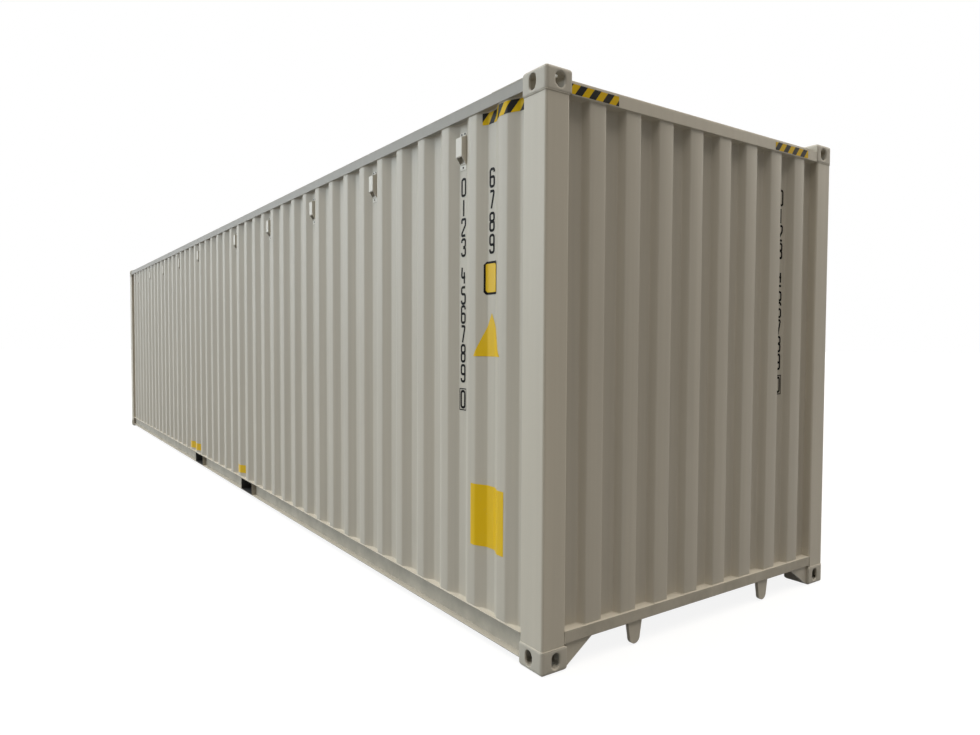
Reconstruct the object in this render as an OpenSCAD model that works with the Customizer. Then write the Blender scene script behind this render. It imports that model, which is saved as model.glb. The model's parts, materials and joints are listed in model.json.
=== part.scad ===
// Forty-foot high-cube shipping container with fork pockets and a gooseneck tunnel.
// Origin at the middle of the footprint on the ground, +X to the closed front end, +Z up.
// The right side is at -Y and the left side at +Y, seen facing the front end.

/* [Overall] */
// Length over the corner castings
container_l = 12192; // [9000:1:13800]
// Width over the corner castings
container_w = 2438; // [2300:1:2600]
// Height over the corner castings
container_h = 2896; // [2438:1:3000]
// Setback of posts and rails behind the faces of the castings
frame_inset = 4; // [2:0.5:8]

/* [Corner castings] */
// Casting size along the container
casting_l = 178; // [170:1:190]
// Casting size across the container
casting_w = 162; // [156:1:170]
// Casting height
casting_h = 118; // [112:1:124]
// Thickness of the casting's outer and inner walls
casting_wall = 15; // [12:0.5:18]
// Thickness of the casting's plate with the twist-lock slot
casting_plate = 28; // [24:0.5:30]
// Radius of the casting's outer edges
casting_round = 18; // [10:0.5:20]
// Length of a twist-lock slot
slot_l = 124; // [116:0.5:128]
// Width of a twist-lock slot
slot_w = 63.5; // [58:0.5:66]
// Distance between slot centres along the container, taken off its length
slot_pitch_less_l = 207; // [204:1:212]
// Distance between slot centres across the container, taken off its width
slot_pitch_less_w = 179; // [176:1:182]
// Width of a side aperture, and of a bottom casting's end aperture
aperture_w = 51; // [46:0.5:56]
// Height of a side aperture, and of a bottom casting's end aperture
aperture_h = 79.5; // [66:0.5:82]
// Width of a top casting's end aperture
top_aperture_w = 64; // [56:0.5:68]
// Height of a top casting's end aperture
top_aperture_h = 75; // [70:0.5:82]

/* [Posts] */
// Plate thickness of the corner posts
post_t = 6; // [4:0.5:8]
// Width of a front post's face on the front end
post_face_w = 148; // [130:1:156]
// Outer radius of a front post's bends
post_bend_r = 12; // [9:0.5:16]
// Width of a rear post, seen from the doors
rear_post_w = 45; // [40:1:60]

/* [Rails] */
// Size of the square top rails
top_rail_w = 60; // [50:1:64]
// Wall of the square top rails
top_rail_t = 3; // [2:0.5:6]
// Drop of the top side rail under the top of the castings
top_rail_drop = 24; // [20:1:30]
// Height of the front bottom rail above the ground
front_sill_z = 131; // [122:1:140]
// Height of the bottom side rail's lower flange above the ground
side_rail_z = 36; // [20:1:44]
// Height of the bottom side rail
side_rail_h = 126; // [122:1:140]
// Plate thickness of the bottom side rail
side_rail_t = 4.5; // [3:0.5:6]
// Depth of the bottom side rail's flanges, from its outer face to its web's inner face
side_rail_d = 44.5; // [44:0.5:52]

/* [Walls] */
// Sheet thickness of the walls
wall_t = 2; // [1.5:0.1:3]
// Setback of the side wall's ridges behind the castings
side_wall_inset = 9; // [6:0.5:10]
// Depth of the side wall's corrugation
side_wave_d = 36; // [24:0.5:37]
// Pitch of the side wall's corrugation
side_pitch = 278; // [260:1:300]
// Width of a ridge's flat on the side wall
side_ridge_w = 72; // [60:1:80]
// Run of a slope on the side wall
side_slope_w = 68; // [50:1:70]
// Start of the first ridge's flat behind the front end
side_first_ridge = 313; // [260:1:340]
// Setback of the front wall's ridges behind the castings
front_wall_inset = 12; // [8:0.5:14]
// Depth of the front wall's corrugation
front_wave_d = 45.6; // [36:0.1:47]
// Pitch of the front wall's corrugation
front_pitch = 250; // [236:1:258]
// Width of a ridge's flat on the front wall
front_ridge_w = 110; // [90:1:116]
// Run of a slope on the front wall
front_slope_w = 18; // [12:1:20]

/* [Roof] */
// Sheet thickness of the roof
roof_t = 2; // [1.5:0.1:3]
// Height of the stamped ribs
roof_rib_h = 15; // [8:0.5:15]
// Pitch of the stamped ribs
roof_pitch = 209; // [190:1:230]
// Width of a rib's top
roof_rib_w = 91; // [70:1:96]
// Run of a rib's slope
roof_slope_w = 13.5; // [10:0.5:20]
// Plain length at each end of the roof
roof_plain_l = 300; // [200:1:400]
// Plain margin along each side of the roof
roof_margin_w = 75; // [66:1:110]
// Run of the slope at a rib's ends
roof_hip_w = 45; // [30:1:60]
// Thickness of the corner plates and of the front header
header_t = 4; // [3:0.5:6]
// Length of a roof corner plate
corner_plate_l = 260; // [200:1:290]
// Width of a roof corner plate
corner_plate_w = 420; // [300:1:500]

/* [Vents] */
// Width of a vent housing
vent_w = 58; // [44:1:64]
// Height of a vent housing over its flanges
vent_h = 207; // [160:1:240]
// Depth of a vent housing
vent_d = 33; // [20:1:34]
// Sheet thickness of a vent housing
vent_t = 2; // [1.5:0.5:3]
// Height of a vent's upper flange
vent_flange_h = 20; // [14:1:24]
// Height of a vent's lower tab
vent_tab_h = 27; // [20:1:34]
// Width of a vent's upper flange and lower tab
vent_tab_w = 64; // [58:1:68]
// Rise of the slope at the top of a vent
vent_top_slope_h = 14; // [8:1:20]
// Rise of the slope at the foot of a vent, which holds its mouth
vent_slope_h = 44; // [36:1:50]
// Margin of sheet round a vent's mouth
vent_lip = 4; // [3:0.5:8]
// Distance from the top of the wall to the top of a vent
vent_drop = 52; // [40:1:90]
// Number of recesses left free at each end of the row of vents
vent_skip_count = 1; // [0:1:2]
// Number of recesses from one vent to the next
vent_step_count = 4; // [3:1:5]

/* [Underside] */
// Thickness of the plywood floor
floor_t = 28; // [21:1:30]
// Flange width of a cross member
cross_w = 45; // [35:1:60]
// Plate thickness of a cross member
cross_t = 4; // [3:0.5:5]
// Spacing of the cross members
cross_pitch = 300; // [260:5:340]
// Gap between a cross member and a fork pocket or casting
cross_gap = 20; // [10:1:40]
// Clear width of a fork pocket
pocket_w = 360; // [340:1:380]
// Plate thickness of a fork pocket
pocket_t = 4; // [3:0.5:5]
// Spacing of the fork pockets' centres
pocket_pitch = 2050; // [1900:10:2100]
// Distance of the pockets' midpoint ahead of the container's middle
pocket_lead = 261; // [200:1:300]
// Length of the strap under each mouth of a fork pocket
pocket_strap_w = 200; // [120:1:260]
// Clear width of the gooseneck tunnel
tunnel_w = 1029; // [1000:1:1070]
// Clear height of the gooseneck tunnel
tunnel_h = 120; // [108:1:126]
// Length of the gooseneck tunnel
tunnel_l = 3400; // [3000:10:3600]
// Plate thickness of the tunnel
tunnel_t = 4; // [3:0.5:6]
// Length over which the tunnel's side plates rise towards the front rail
tunnel_rake_l = 340; // [240:10:420]
// Width of a tunnel guide at the front, at its top
guide_top_w = 106; // [90:1:120]
// Width of a tunnel guide at its foot
guide_foot_w = 75; // [60:1:88]
// Depth of a tunnel guide from front to back
guide_d = 20; // [15:1:36]
// Clearance under a tunnel guide
guide_clear = 6; // [3:1:12]
// Plate thickness of the guides and of the corner gussets
gusset_t = 10; // [8:1:14]
// Width of a corner gusset at its top
gusset_w = 186; // [150:1:220]
// Setback of the guides and gussets behind the face of the front bottom rail
gusset_setback = 12; // [6:1:20]

/* [Doors] */
// Setback of the door leaves behind the castings
door_inset = 48; // [46:1:60]
// Thickness of a door leaf
door_t = 50; // [44:1:56]
// Width of a door leaf's stiles
door_stile_w = 100; // [80:1:110]
// Height of a door leaf's top and bottom rails
door_rail_h = 150; // [120:1:170]
// Wall of the door leaf's tubes
door_tube_t = 3; // [2:0.5:4]
// Number of pressed recesses in a door panel
door_recesses = 5; // [3:1:6]
// Height of a door panel's pressed recess
door_recess_h = 180; // [120:1:220]
// Run of a slope on a door panel
door_slope_h = 40; // [24:1:50]
// Depth of a door panel's pressed recess
door_wave_d = 36; // [20:1:40]
// Thickness of the rubber gasket round a leaf
gasket_t = 12; // [8:1:16]
// Depth of the rubber gasket
gasket_d = 30; // [20:1:40]
// Height of the door sill's top
sill_z = 166; // [160:1:176]
// Depth of the door sill and header
sill_d = 100; // [80:1:120]

/* [Door gear] */
// Diameter of a lock rod
rod_d = 34; // [28:1:38]
// Distance of the rods' axes behind the castings
rod_inset = 24; // [22:0.5:28]
// Running clearance round a rod and a hinge pin
gear_gap = 0.3; // [0.2:0.05:0.5]
// Height between the two handles of a leaf
handle_stagger = 90; // [80:1:110]
// Gap between a handle's end and the next rod's axis
handle_end_gap = 84; // [70:1:120]
// Number of hinges on a leaf
hinge_count = 4; // [3:1:5]
// Height of a hinge's barrel
hinge_h = 110; // [80:1:140]

/* [Hidden] */
$fn = 48;

// How far a cut runs past the face that it opens
overrun = 5;
half_l = container_l / 2;
half_w = container_w / 2;

// Where the castings' slots and apertures lie, from the outer corner
slot_x = slot_pitch_less_l / 2;
slot_y = slot_pitch_less_w / 2;
aperture_z = casting_plate + (casting_h - casting_plate - casting_wall) / 2 - overrun;

// Heights of the frame's levels
post_top_z = container_h - casting_h;
side_top_z = container_h - top_rail_drop - top_rail_w;
roof_low_z = container_h - top_rail_drop;
side_rail_top_z = side_rail_z + side_rail_h;
floor_z = side_rail_top_z - side_rail_t;
front_wall_z = front_sill_z + top_rail_w;
front_top_rail_top_z = post_top_z + top_rail_w;

// Inset of the bottom rail's inner face, which the floor and the cross members meet
rail_inner = frame_inset + side_rail_d;
rail_back = frame_inset + top_rail_w;

// Side wall, measured back from the front end
side_wall_start = casting_l;
side_wall_end = container_l - casting_l;
side_flat_w = side_pitch - side_ridge_w - 2 * side_slope_w;
side_room = side_wall_end - side_first_ridge - side_ridge_w - 2 * side_slope_w;
side_ridges = floor(side_room / side_pitch) + 1;
front_wall_half_w = half_w - frame_inset - post_face_w;
front_ridges = floor(2 * front_wall_half_w / front_pitch);
vents_per_half = floor((side_ridges / 2 - vent_skip_count) / vent_step_count);

// Roof sheet
roof_x0 = casting_l + header_t;
roof_l = container_l - 2 * roof_x0;
roof_w = container_w - 2 * frame_inset;
roof_ribs = floor((roof_l - 2 * roof_plain_l + roof_pitch - roof_rib_w) / roof_pitch);
roof_first = (roof_l - (roof_ribs - 1) * roof_pitch - roof_rib_w) / 2;

// Underside, measured back from the front end
pocket_outer_w = pocket_w + 2 * pocket_t;
pocket_mid = half_l - pocket_lead;
pocket_front_x = pocket_mid - pocket_pitch / 2;
pocket_rear_x = pocket_mid + pocket_pitch / 2;
pocket_z = side_rail_z + side_rail_t;
pocket_h = floor_z - pocket_z;
cross_h = floor_z - side_rail_z;
floor_end = container_l - door_inset - sill_d;
cross_half_w = half_w - rail_inner;
tunnel_outer_w = tunnel_w + 2 * tunnel_t;
tunnel_end = rail_back + tunnel_l;
bow_w = 2 * cross_w;

// Doors, measured from the outer corner of the rear end
leaf_y0 = frame_inset + rear_post_w + gasket_t;
leaf_y1 = half_w - gasket_t;
leaf_w = leaf_y1 - leaf_y0;
leaf_z0 = sill_z + gasket_t;
leaf_z1 = post_top_z - gasket_t;
leaf_h = leaf_z1 - leaf_z0;
panel_w = leaf_w - 2 * door_stile_w;
panel_h = leaf_h - 2 * door_rail_h;
panel_z0 = leaf_z0 + door_rail_h;
panel_pitch = panel_h / door_recesses;
gasket_setback = (door_t - gasket_d) / 2;

// Places of the lock rods across a leaf, and of their brackets up the leaf's frame and panel
rod_shares = [0.27, 0.71];
bracket_w = 2.2 * rod_d;
bracket_h = 1.3 * rod_d;
bracket_t = rod_d / 5;
bracket_zs = [
    leaf_z0 + door_rail_h / 2,
    panel_z0 + panel_pitch,
    panel_z0 + (door_recesses - 1) * panel_pitch,
    leaf_z1 - door_rail_h / 2
];
cam_h = rod_d;
cam_reach = 1.6 * rod_d;
keeper_t = rod_d / 3;
rod_z0 = sill_z - 2.2 * rod_d;
rod_z1 = post_top_z + 2.2 * rod_d;
handle_h = rod_d;
handle_t = rod_d / 3;
handle_mid_z = panel_z0 + floor(door_recesses / 2) * panel_pitch;
catch_w = rod_d;
catch_h = 2 * rod_d;
hub_h = 2 * rod_d;
hub_r = rod_inset - frame_inset;
hinge_pin_r = rod_d / 4;
hinge_barrel_r = 2 * hinge_pin_r - 2 * gear_gap;
hinge_x = door_inset / 2;
hinge_y = frame_inset + rear_post_w + hinge_barrel_r + gear_gap;
hinge_lug_t = rod_d / 3;
hinge_leaf_t = rod_d / 5;

PAINT = [0.72, 0.70, 0.64];
RAIL_PAINT = [0.68, 0.67, 0.63];
CASTING_PAINT = [0.66, 0.64, 0.58];
UNDERCOAT = [0.13, 0.13, 0.12];
PLYWOOD = [0.55, 0.38, 0.24];
RUBBER = [0.05, 0.05, 0.05];
GALVANISED = [0.62, 0.63, 0.64];

// Puts a shape drawn inward from an outer corner at one corner of the footprint
module at_corner(front, left)
    translate([front * half_l, left * half_w, 0])
        mirror([front > 0 ? 1 : 0, 0, 0])
            mirror([0, left > 0 ? 1 : 0, 0])
                children();

// Turns a shape drawn up from the ground into one drawn down from the top
module from_top()
    translate([0, 0, container_h])
        mirror([0, 0, 1])
            children();

// What a corner at the origin loses when it is rounded
module corner_waste(r) {
    difference() {
        square([r, r]);
        translate([r, r]) circle(r);
    }
}

// Rectangle whose corner at the origin is rounded
module rounded_corner(a, b, r) {
    difference() {
        square([a, b]);
        corner_waste(r);
    }
}

// Rectangle with both corners of its lower edge rounded
module rounded_foot(a, b, r) {
    difference() {
        square([a, b]);
        corner_waste(r);
        translate([a, 0]) mirror([1, 0, 0]) corner_waste(r);
    }
}

// Slot outline with round ends, long along its first axis
module stadium(l, w) {
    square([l - w, w], center = true);
    for (s = [-1, 1])
        translate([s * (l - w) / 2, 0]) circle(d = w);
}

// Rectangular tube along X, Y or Z
module tube_x(l, a, b, t) {
    difference() {
        cube([l, a, b]);
        translate([-overrun, t, t]) cube([l + 2 * overrun, a - 2 * t, b - 2 * t]);
    }
}

module tube_y(l, a, b, t) {
    difference() {
        cube([a, l, b]);
        translate([t, -overrun, t]) cube([a - 2 * t, l + 2 * overrun, b - 2 * t]);
    }
}

module tube_z(l, a, b, t) {
    difference() {
        cube([a, b, l]);
        translate([t, t, -overrun]) cube([a - 2 * t, b - 2 * t, l + 2 * overrun]);
    }
}

// Points of a corrugated sheet's face: ridges at depth 0, flats between them at depth d
function wave(first, n, pitch, ridge, slope, d, lean, back) = [
    for (k = [0 : n - 1])
        for (p = [
            [first + k * pitch - slope + lean, d + back],
            [first + k * pitch + lean, back],
            [first + k * pitch + ridge - lean, back],
            [first + k * pitch + ridge + slope - lean, d + back]
        ]) p
];

function reversed(points) = [for (i = [len(points) - 1 : -1 : 0]) points[i]];

// Sideways shift of a slope's back face that keeps the sheet's thickness
function slope_lean(slope, d, t) = t * (sqrt(slope * slope + d * d) - slope) / d;

// Outline of a corrugated sheet from start to end, its thickness towards greater depth
module corrugated(start, end, first, n, pitch, ridge, slope, d, t) {
    lean = slope_lean(slope, d, t);
    face = wave(first, n, pitch, ridge, slope, d, 0, 0);
    rear = wave(first, n, pitch, ridge, slope, d, lean, t);
    polygon(concat(
        [[start, d]], face, [[end, d]],
        [[end, d + t]], reversed(rear), [[start, d + t]]
    ));
}

// Hollow casting with one twist-lock slot, a side aperture and an end aperture of its own size
module corner_casting(end_w, end_h) {
    inner_h = casting_h - casting_plate - casting_wall;
    difference() {
        intersection() {
            linear_extrude(casting_h) rounded_corner(casting_l, casting_w, casting_round);
            translate([0, casting_w, 0]) rotate([90, 0, 0])
                linear_extrude(casting_w) rounded_foot(casting_l, casting_h, casting_round);
            rotate([90, 0, 90])
                linear_extrude(casting_l) rounded_foot(casting_w, casting_h, casting_round);
        }
        translate([casting_wall, casting_wall, casting_plate])
            cube([casting_l - 2 * casting_wall, casting_w - 2 * casting_wall, inner_h]);
        translate([slot_x, slot_y, -overrun])
            linear_extrude(casting_plate + 2 * overrun) stadium(slot_l, slot_w);
        translate([slot_x, casting_wall + overrun, aperture_z]) rotate([90, 90, 0])
            linear_extrude(casting_wall + 2 * overrun) stadium(aperture_h, aperture_w);
        translate([-overrun, slot_y, aperture_z]) rotate([0, 90, 0])
            linear_extrude(casting_wall + 2 * overrun) stadium(end_h, end_w);
    }
}

module casting_pair(front, top) {
    color(CASTING_PAINT)
        for (left = [-1, 1])
            at_corner(front, left) {
                if (top) from_top() corner_casting(top_aperture_w, top_aperture_h);
                else corner_casting(aperture_w, aperture_h);
            }
}

// Angle that a front post's plate is bent round, inset by t, with its three bends rounded
module post_outline(t, grow) {
    side_w = casting_l - frame_inset;
    r = post_bend_r - t;
    translate([frame_inset, frame_inset])
        difference() {
            union() {
                translate([t, t]) square([side_w - 2 * t, rail_inner - frame_inset - t + grow]);
                translate([t, t]) square([top_rail_w - t + grow, post_face_w - 2 * t]);
            }
            translate([t, t]) corner_waste(r);
            translate([t, post_face_w - t]) mirror([0, 1, 0]) corner_waste(r);
            translate([side_w - t, t]) mirror([1, 0, 0]) corner_waste(r);
        }
}

// Pressed front post: an angle of plate with a lip on each edge
module front_post(left) {
    color(PAINT)
        at_corner(1, left)
            translate([0, 0, casting_h])
                linear_extrude(post_top_z - casting_h)
                    difference() {
                        post_outline(0, 0);
                        post_outline(post_t, overrun);
                    }
}

// Box-section rear post
module rear_post(left) {
    color(PAINT)
        at_corner(-1, left)
            translate([frame_inset, frame_inset, casting_h])
                tube_z(post_top_z - casting_h, casting_l - frame_inset, rear_post_w, post_t);
}

module top_side_rail(left) {
    color(RAIL_PAINT)
        at_corner(1, left)
            translate([casting_l, frame_inset, side_top_z])
                tube_x(side_wall_end - side_wall_start, top_rail_w, top_rail_w, top_rail_t);
}

// Bottom side rail: a channel open to the outside, cut where the fork pockets pass through
module bottom_side_rail(left) {
    color(PAINT)
        at_corner(1, left)
            translate([0, frame_inset, side_rail_z])
                difference() {
                    translate([casting_l, 0, 0])
                        cube([side_wall_end - side_wall_start, side_rail_d, side_rail_h]);
                    translate([casting_l - overrun, -overrun, side_rail_t])
                        cube([
                            side_wall_end - side_wall_start + 2 * overrun,
                            side_rail_d - side_rail_t + overrun,
                            side_rail_h - 2 * side_rail_t
                        ]);
                    for (x = [pocket_front_x, pocket_rear_x])
                        translate([x - pocket_outer_w / 2, 0, side_rail_t])
                            cube([pocket_outer_w, side_rail_d + overrun, side_rail_h - 2 * side_rail_t]);
                }
}

module front_top_rail() {
    color(PAINT)
        translate([half_l - rail_back, casting_w - half_w, post_top_z])
            tube_y(container_w - 2 * casting_w, top_rail_w, top_rail_w, top_rail_t);
}

module front_bottom_rail() {
    color(PAINT)
        translate([half_l - rail_back, -front_wall_half_w, front_sill_z])
            tube_y(2 * front_wall_half_w, top_rail_w, top_rail_w, cross_t);
}

// Angle plate that closes the front end from its top rail up to the roof
module front_header_plate() {
    color(PAINT)
        translate([half_l - rail_back, half_w - casting_w, 0])
            rotate([90, 0, 0])
                linear_extrude(container_w - 2 * casting_w) {
                    translate([0, front_top_rail_top_z])
                        square([header_t, roof_low_z - front_top_rail_top_z]);
                    translate([rail_back - roof_x0 - roof_plain_l / 4, roof_low_z - header_t])
                        square([roof_x0 - rail_back + roof_plain_l / 4 + header_t, header_t]);
                }
}

// Box beam over the doors with a flange that carries the end of the roof
module door_header() {
    color(PAINT)
        translate([door_inset - half_l, casting_w - half_w, 0]) {
            translate([0, 0, post_top_z])
                tube_y(container_w - 2 * casting_w, sill_d, roof_low_z - post_top_z, header_t);
            translate([sill_d, 0, roof_low_z - header_t])
                cube([
                    roof_x0 - door_inset - sill_d + roof_plain_l / 4,
                    container_w - 2 * casting_w, header_t
                ]);
        }
}

// Stepped box beam under the doors: wider above the castings, between the rear posts
module door_sill() {
    upper_l = container_w - 2 * frame_inset - 2 * rear_post_w;
    color(PAINT)
        translate([door_inset - half_l, 0, 0]) {
            translate([0, casting_w - half_w, side_rail_z])
                tube_y(container_w - 2 * casting_w, sill_d, casting_h - side_rail_z, header_t);
            translate([0, -upper_l / 2, casting_h])
                tube_y(upper_l, sill_d, sill_z - casting_h, header_t);
        }
}

module side_wall(left) {
    color(PAINT)
        at_corner(1, left)
            translate([0, side_wall_inset, side_rail_top_z])
                linear_extrude(side_top_z - side_rail_top_z)
                    corrugated(
                        side_wall_start, side_wall_end, side_first_ridge, side_ridges,
                        side_pitch, side_ridge_w, side_slope_w, side_wave_d, wall_t
                    );
}

module front_wall() {
    first = -((front_ridges - 1) * front_pitch + front_ridge_w) / 2;
    color(PAINT)
        translate([half_l - front_wall_inset, 0, front_wall_z])
            rotate([0, 0, 90])
                linear_extrude(post_top_z - front_wall_z)
                    corrugated(
                        -front_wall_half_w, front_wall_half_w, first, front_ridges,
                        front_pitch, front_ridge_w, front_slope_w, front_wave_d, wall_t
                    );
}

// Solid under the roof's upper face: ribs across the roof, cut to sloped ends
module roof_block(grow) {
    base = -2 * roof_rib_h;
    ribs = wave(roof_first, roof_ribs, roof_pitch, roof_rib_w, roof_slope_w, -roof_rib_h, 0, roof_rib_h);
    flat_w = roof_w / 2 - roof_margin_w;
    intersection() {
        translate([0, roof_w / 2 + grow, 0]) rotate([90, 0, 0])
            linear_extrude(roof_w + 2 * grow)
                polygon(concat(
                    [[-grow, base], [-grow, 0]], ribs, [[roof_l + grow, 0], [roof_l + grow, base]]
                ));
        translate([-grow, 0, 0]) rotate([90, 0, 90])
            linear_extrude(roof_l + 2 * grow)
                polygon([
                    [-roof_w / 2 - grow, base], [-roof_w / 2 - grow, 0], [-flat_w, 0],
                    [roof_hip_w - flat_w, roof_rib_h], [flat_w - roof_hip_w, roof_rib_h],
                    [flat_w, 0], [roof_w / 2 + grow, 0], [roof_w / 2 + grow, base]
                ]);
    }
}

module roof() {
    color(PAINT)
        translate([roof_x0 - half_l, 0, roof_low_z + roof_t])
            difference() {
                roof_block(0);
                translate([0, 0, -roof_t]) roof_block(overrun);
            }
}

module roof_corner_plates() {
    color(PAINT)
        for (front = [-1, 1], left = [-1, 1])
            at_corner(front, left)
                translate([roof_x0, frame_inset, roof_low_z + roof_t])
                    cube([corner_plate_l, corner_plate_w, header_t]);
}

module floor_deck() {
    color(PLYWOOD)
        translate([half_l - floor_end, -cross_half_w, floor_z])
            cube([floor_end - rail_back, 2 * cross_half_w, floor_t]);
}

// Channel-section bearer of length l along Y, its web at the front
module bearer(l) {
    difference() {
        cube([cross_w, l, cross_h]);
        translate([-overrun, -overrun, cross_t])
            cube([cross_w - cross_t + overrun, l + 2 * overrun, cross_h - 2 * cross_t]);
    }
}

// Even places from a to b, at about the cross members' spacing
function even_places(a, b) =
    let (bays = max(1, round((b - a) / cross_pitch)))
    [for (i = [0 : bays]) a + i * (b - a) / bays];

// Places of the bearers behind the tunnel, between the pockets and behind them
pocket_room = pocket_outer_w / 2 + cross_gap;
bearer_xs = concat(
    even_places(tunnel_end + cross_w, pocket_front_x - pocket_room),
    even_places(pocket_front_x + pocket_room + cross_w, pocket_rear_x - pocket_room),
    even_places(pocket_rear_x + pocket_room + cross_w, container_l - casting_l - cross_gap)
);

module cross_members() {
    color(UNDERCOAT)
        for (x = bearer_xs)
            translate([half_l - x, -cross_half_w, side_rail_z])
                bearer(2 * cross_half_w);
}

outrigger_xs = even_places(casting_l + 2 * cross_w, tunnel_end - cross_pitch);

module tunnel_outriggers() {
    reach = cross_half_w - tunnel_outer_w / 2;
    color(UNDERCOAT)
        for (x = outrigger_xs, y = [-cross_half_w, tunnel_outer_w / 2])
            translate([half_l - x, y, side_rail_z])
                bearer(reach);
}

// Inverted channel for a trailer's gooseneck, with hollow bows between its roof and the floor
module gooseneck_tunnel() {
    bow_h = floor_z - tunnel_h - tunnel_t;
    color(UNDERCOAT)
        translate([half_l - tunnel_end, -tunnel_outer_w / 2, 0]) {
            difference() {
                translate([0, 0, side_rail_z])
                    cube([tunnel_l, tunnel_outer_w, floor_z - side_rail_z]);
                translate([-overrun, tunnel_t, side_rail_z - overrun])
                    cube([tunnel_l + 2 * overrun, tunnel_w, tunnel_h - side_rail_z + overrun]);
                translate([-overrun, tunnel_t, tunnel_h + tunnel_t])
                    cube([tunnel_l + 2 * overrun, tunnel_w, bow_h + overrun]);
                translate([tunnel_l, tunnel_outer_w + overrun, 0]) rotate([90, 0, 0])
                    linear_extrude(tunnel_outer_w + 2 * overrun)
                        polygon([
                            [-tunnel_rake_l, side_rail_z], [-tunnel_rake_l, side_rail_z - overrun],
                            [overrun, side_rail_z - overrun], [overrun, tunnel_h], [0, tunnel_h]
                        ]);
            }
            for (x = [0 : cross_pitch : tunnel_l - bow_w])
                translate([x, tunnel_t, tunnel_h + tunnel_t])
                    tube_y(tunnel_w, bow_w, bow_h, tunnel_t);
        }
}

// Fork pocket right across the container, closed below by a strap at each mouth
module fork_pocket(x) {
    l = container_w - 2 * frame_inset;
    inner_h = pocket_h - 2 * pocket_t;
    color(UNDERCOAT)
        translate([half_l - x - pocket_outer_w / 2, -l / 2, pocket_z])
            difference() {
                cube([pocket_outer_w, l, pocket_h]);
                translate([pocket_t, -overrun, pocket_t])
                    cube([pocket_w, l + 2 * overrun, inner_h]);
                translate([pocket_t, pocket_strap_w, -overrun])
                    cube([pocket_w, l - 2 * pocket_strap_w, pocket_t + 2 * overrun]);
            }
}

// Outline of a tunnel guide, inset by t: a taper with a round foot, its top at top_z
module guide_outline(t, top_z) {
    foot_r = guide_foot_w / 2 - t;
    foot_z = guide_clear + guide_foot_w / 2;
    top_r = guide_top_w / 2 - t;
    polygon([[-top_r, top_z], [-foot_r, foot_z], [foot_r, foot_z], [top_r, top_z]]);
    intersection() {
        translate([0, foot_z]) circle(foot_r);
        translate([-foot_r, foot_z - foot_r]) square([2 * foot_r, foot_r]);
    }
}

// Dished guide tongue at each side of the tunnel's mouth, open to the rear
module tunnel_guides() {
    color(PAINT)
        for (left = [-1, 1])
            at_corner(1, left)
                translate([frame_inset + gusset_setback, half_w - (tunnel_w + guide_top_w) / 2, 0])
                    rotate([90, 0, 90])
                        difference() {
                            linear_extrude(guide_d) guide_outline(0, front_sill_z);
                            translate([0, 0, gusset_t])
                                linear_extrude(guide_d) guide_outline(gusset_t, front_sill_z + overrun);
                        }
}

// Triangular plates that brace the bottom castings under the front rail
module corner_gussets() {
    color(PAINT)
        for (left = [-1, 1])
            at_corner(1, left)
                translate([frame_inset + gusset_setback, casting_w, 0])
                    rotate([90, 0, 90])
                        linear_extrude(gusset_t)
                            polygon([[0, guide_clear], [0, front_sill_z], [gusset_w, front_sill_z]]);
}

// Vent housing drawn on a recess's flat: a hollow hood with a flange above, a tab and a mouth below
module vent() {
    z1 = vent_tab_h;
    z2 = vent_tab_h + vent_slope_h;
    z4 = vent_h - vent_flange_h;
    z3 = z4 - vent_top_slope_h;
    mouth_w = vent_w - 2 * vent_lip;
    difference() {
        union() {
            translate([-vent_tab_w / 2, 0, 0]) cube([vent_tab_w, vent_t, vent_tab_h + vent_t]);
            translate([-vent_tab_w / 2, 0, z4]) cube([vent_tab_w, vent_t, vent_flange_h]);
            translate([-vent_w / 2, 0, 0]) rotate([90, 0, 90])
                linear_extrude(vent_w)
                    polygon([
                        [0, z1], [vent_t, z1], [vent_d, z2], [vent_d, z3],
                        [vent_t, z4], [vent_t, vent_h], [0, vent_h]
                    ]);
        }
        translate([vent_t - vent_w / 2, 0, 0]) rotate([90, 0, 90])
            linear_extrude(vent_w - 2 * vent_t)
                polygon([
                    [-overrun, z1 + vent_t], [0, z1 + vent_t], [vent_d - vent_t, z2 + vent_t],
                    [vent_d - vent_t, z3 - vent_t], [0, z4 - vent_t], [-overrun, z4 - vent_t]
                ]);
        translate([-mouth_w / 2, vent_t + vent_lip, z1 - overrun])
            cube([mouth_w, vent_d - vent_t - 2 * vent_lip, vent_slope_h + overrun]);
    }
}

// Recesses that hold a vent: one row from the front end, one from the rear end
vent_rows = [for (i = [0 : vents_per_half - 1]) vent_skip_count + i * vent_step_count];
vent_recesses = concat(vent_rows, [for (k = vent_rows) side_ridges - 2 - k]);
vent_x0 = side_first_ridge + side_ridge_w + side_slope_w + side_flat_w / 2;

module vents(left) {
    color(PAINT)
        at_corner(1, left)
            for (k = vent_recesses)
                translate([
                    vent_x0 + k * side_pitch, side_wall_inset + side_wave_d,
                    side_top_z - vent_drop - vent_h
                ])
                    mirror([0, 1, 0]) vent();
}

// Door leaf frame: two tubular stiles and two channel rails between them
module door_frame(left) {
    color(PAINT)
        at_corner(-1, left)
            translate([door_inset, leaf_y0, leaf_z0]) {
                for (y = [0, leaf_w - door_stile_w])
                    translate([0, y, 0]) tube_z(leaf_h, door_t, door_stile_w, door_tube_t);
                for (z = [0, leaf_h - door_rail_h])
                    translate([0, door_stile_w, z])
                        tube_y(panel_w, door_t, door_rail_h, door_tube_t);
            }
}

// Horizontally pressed door panel
module door_panel(left) {
    ridge = panel_pitch - door_recess_h - 2 * door_slope_h;
    color(PAINT)
        at_corner(-1, left)
            translate([door_inset, leaf_y0 + door_stile_w + panel_w, panel_z0])
                rotate([90, 0, 0])
                    linear_extrude(panel_w)
                        mirror([1, -1, 0])
                            door_panel_outline(ridge);
}

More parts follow.
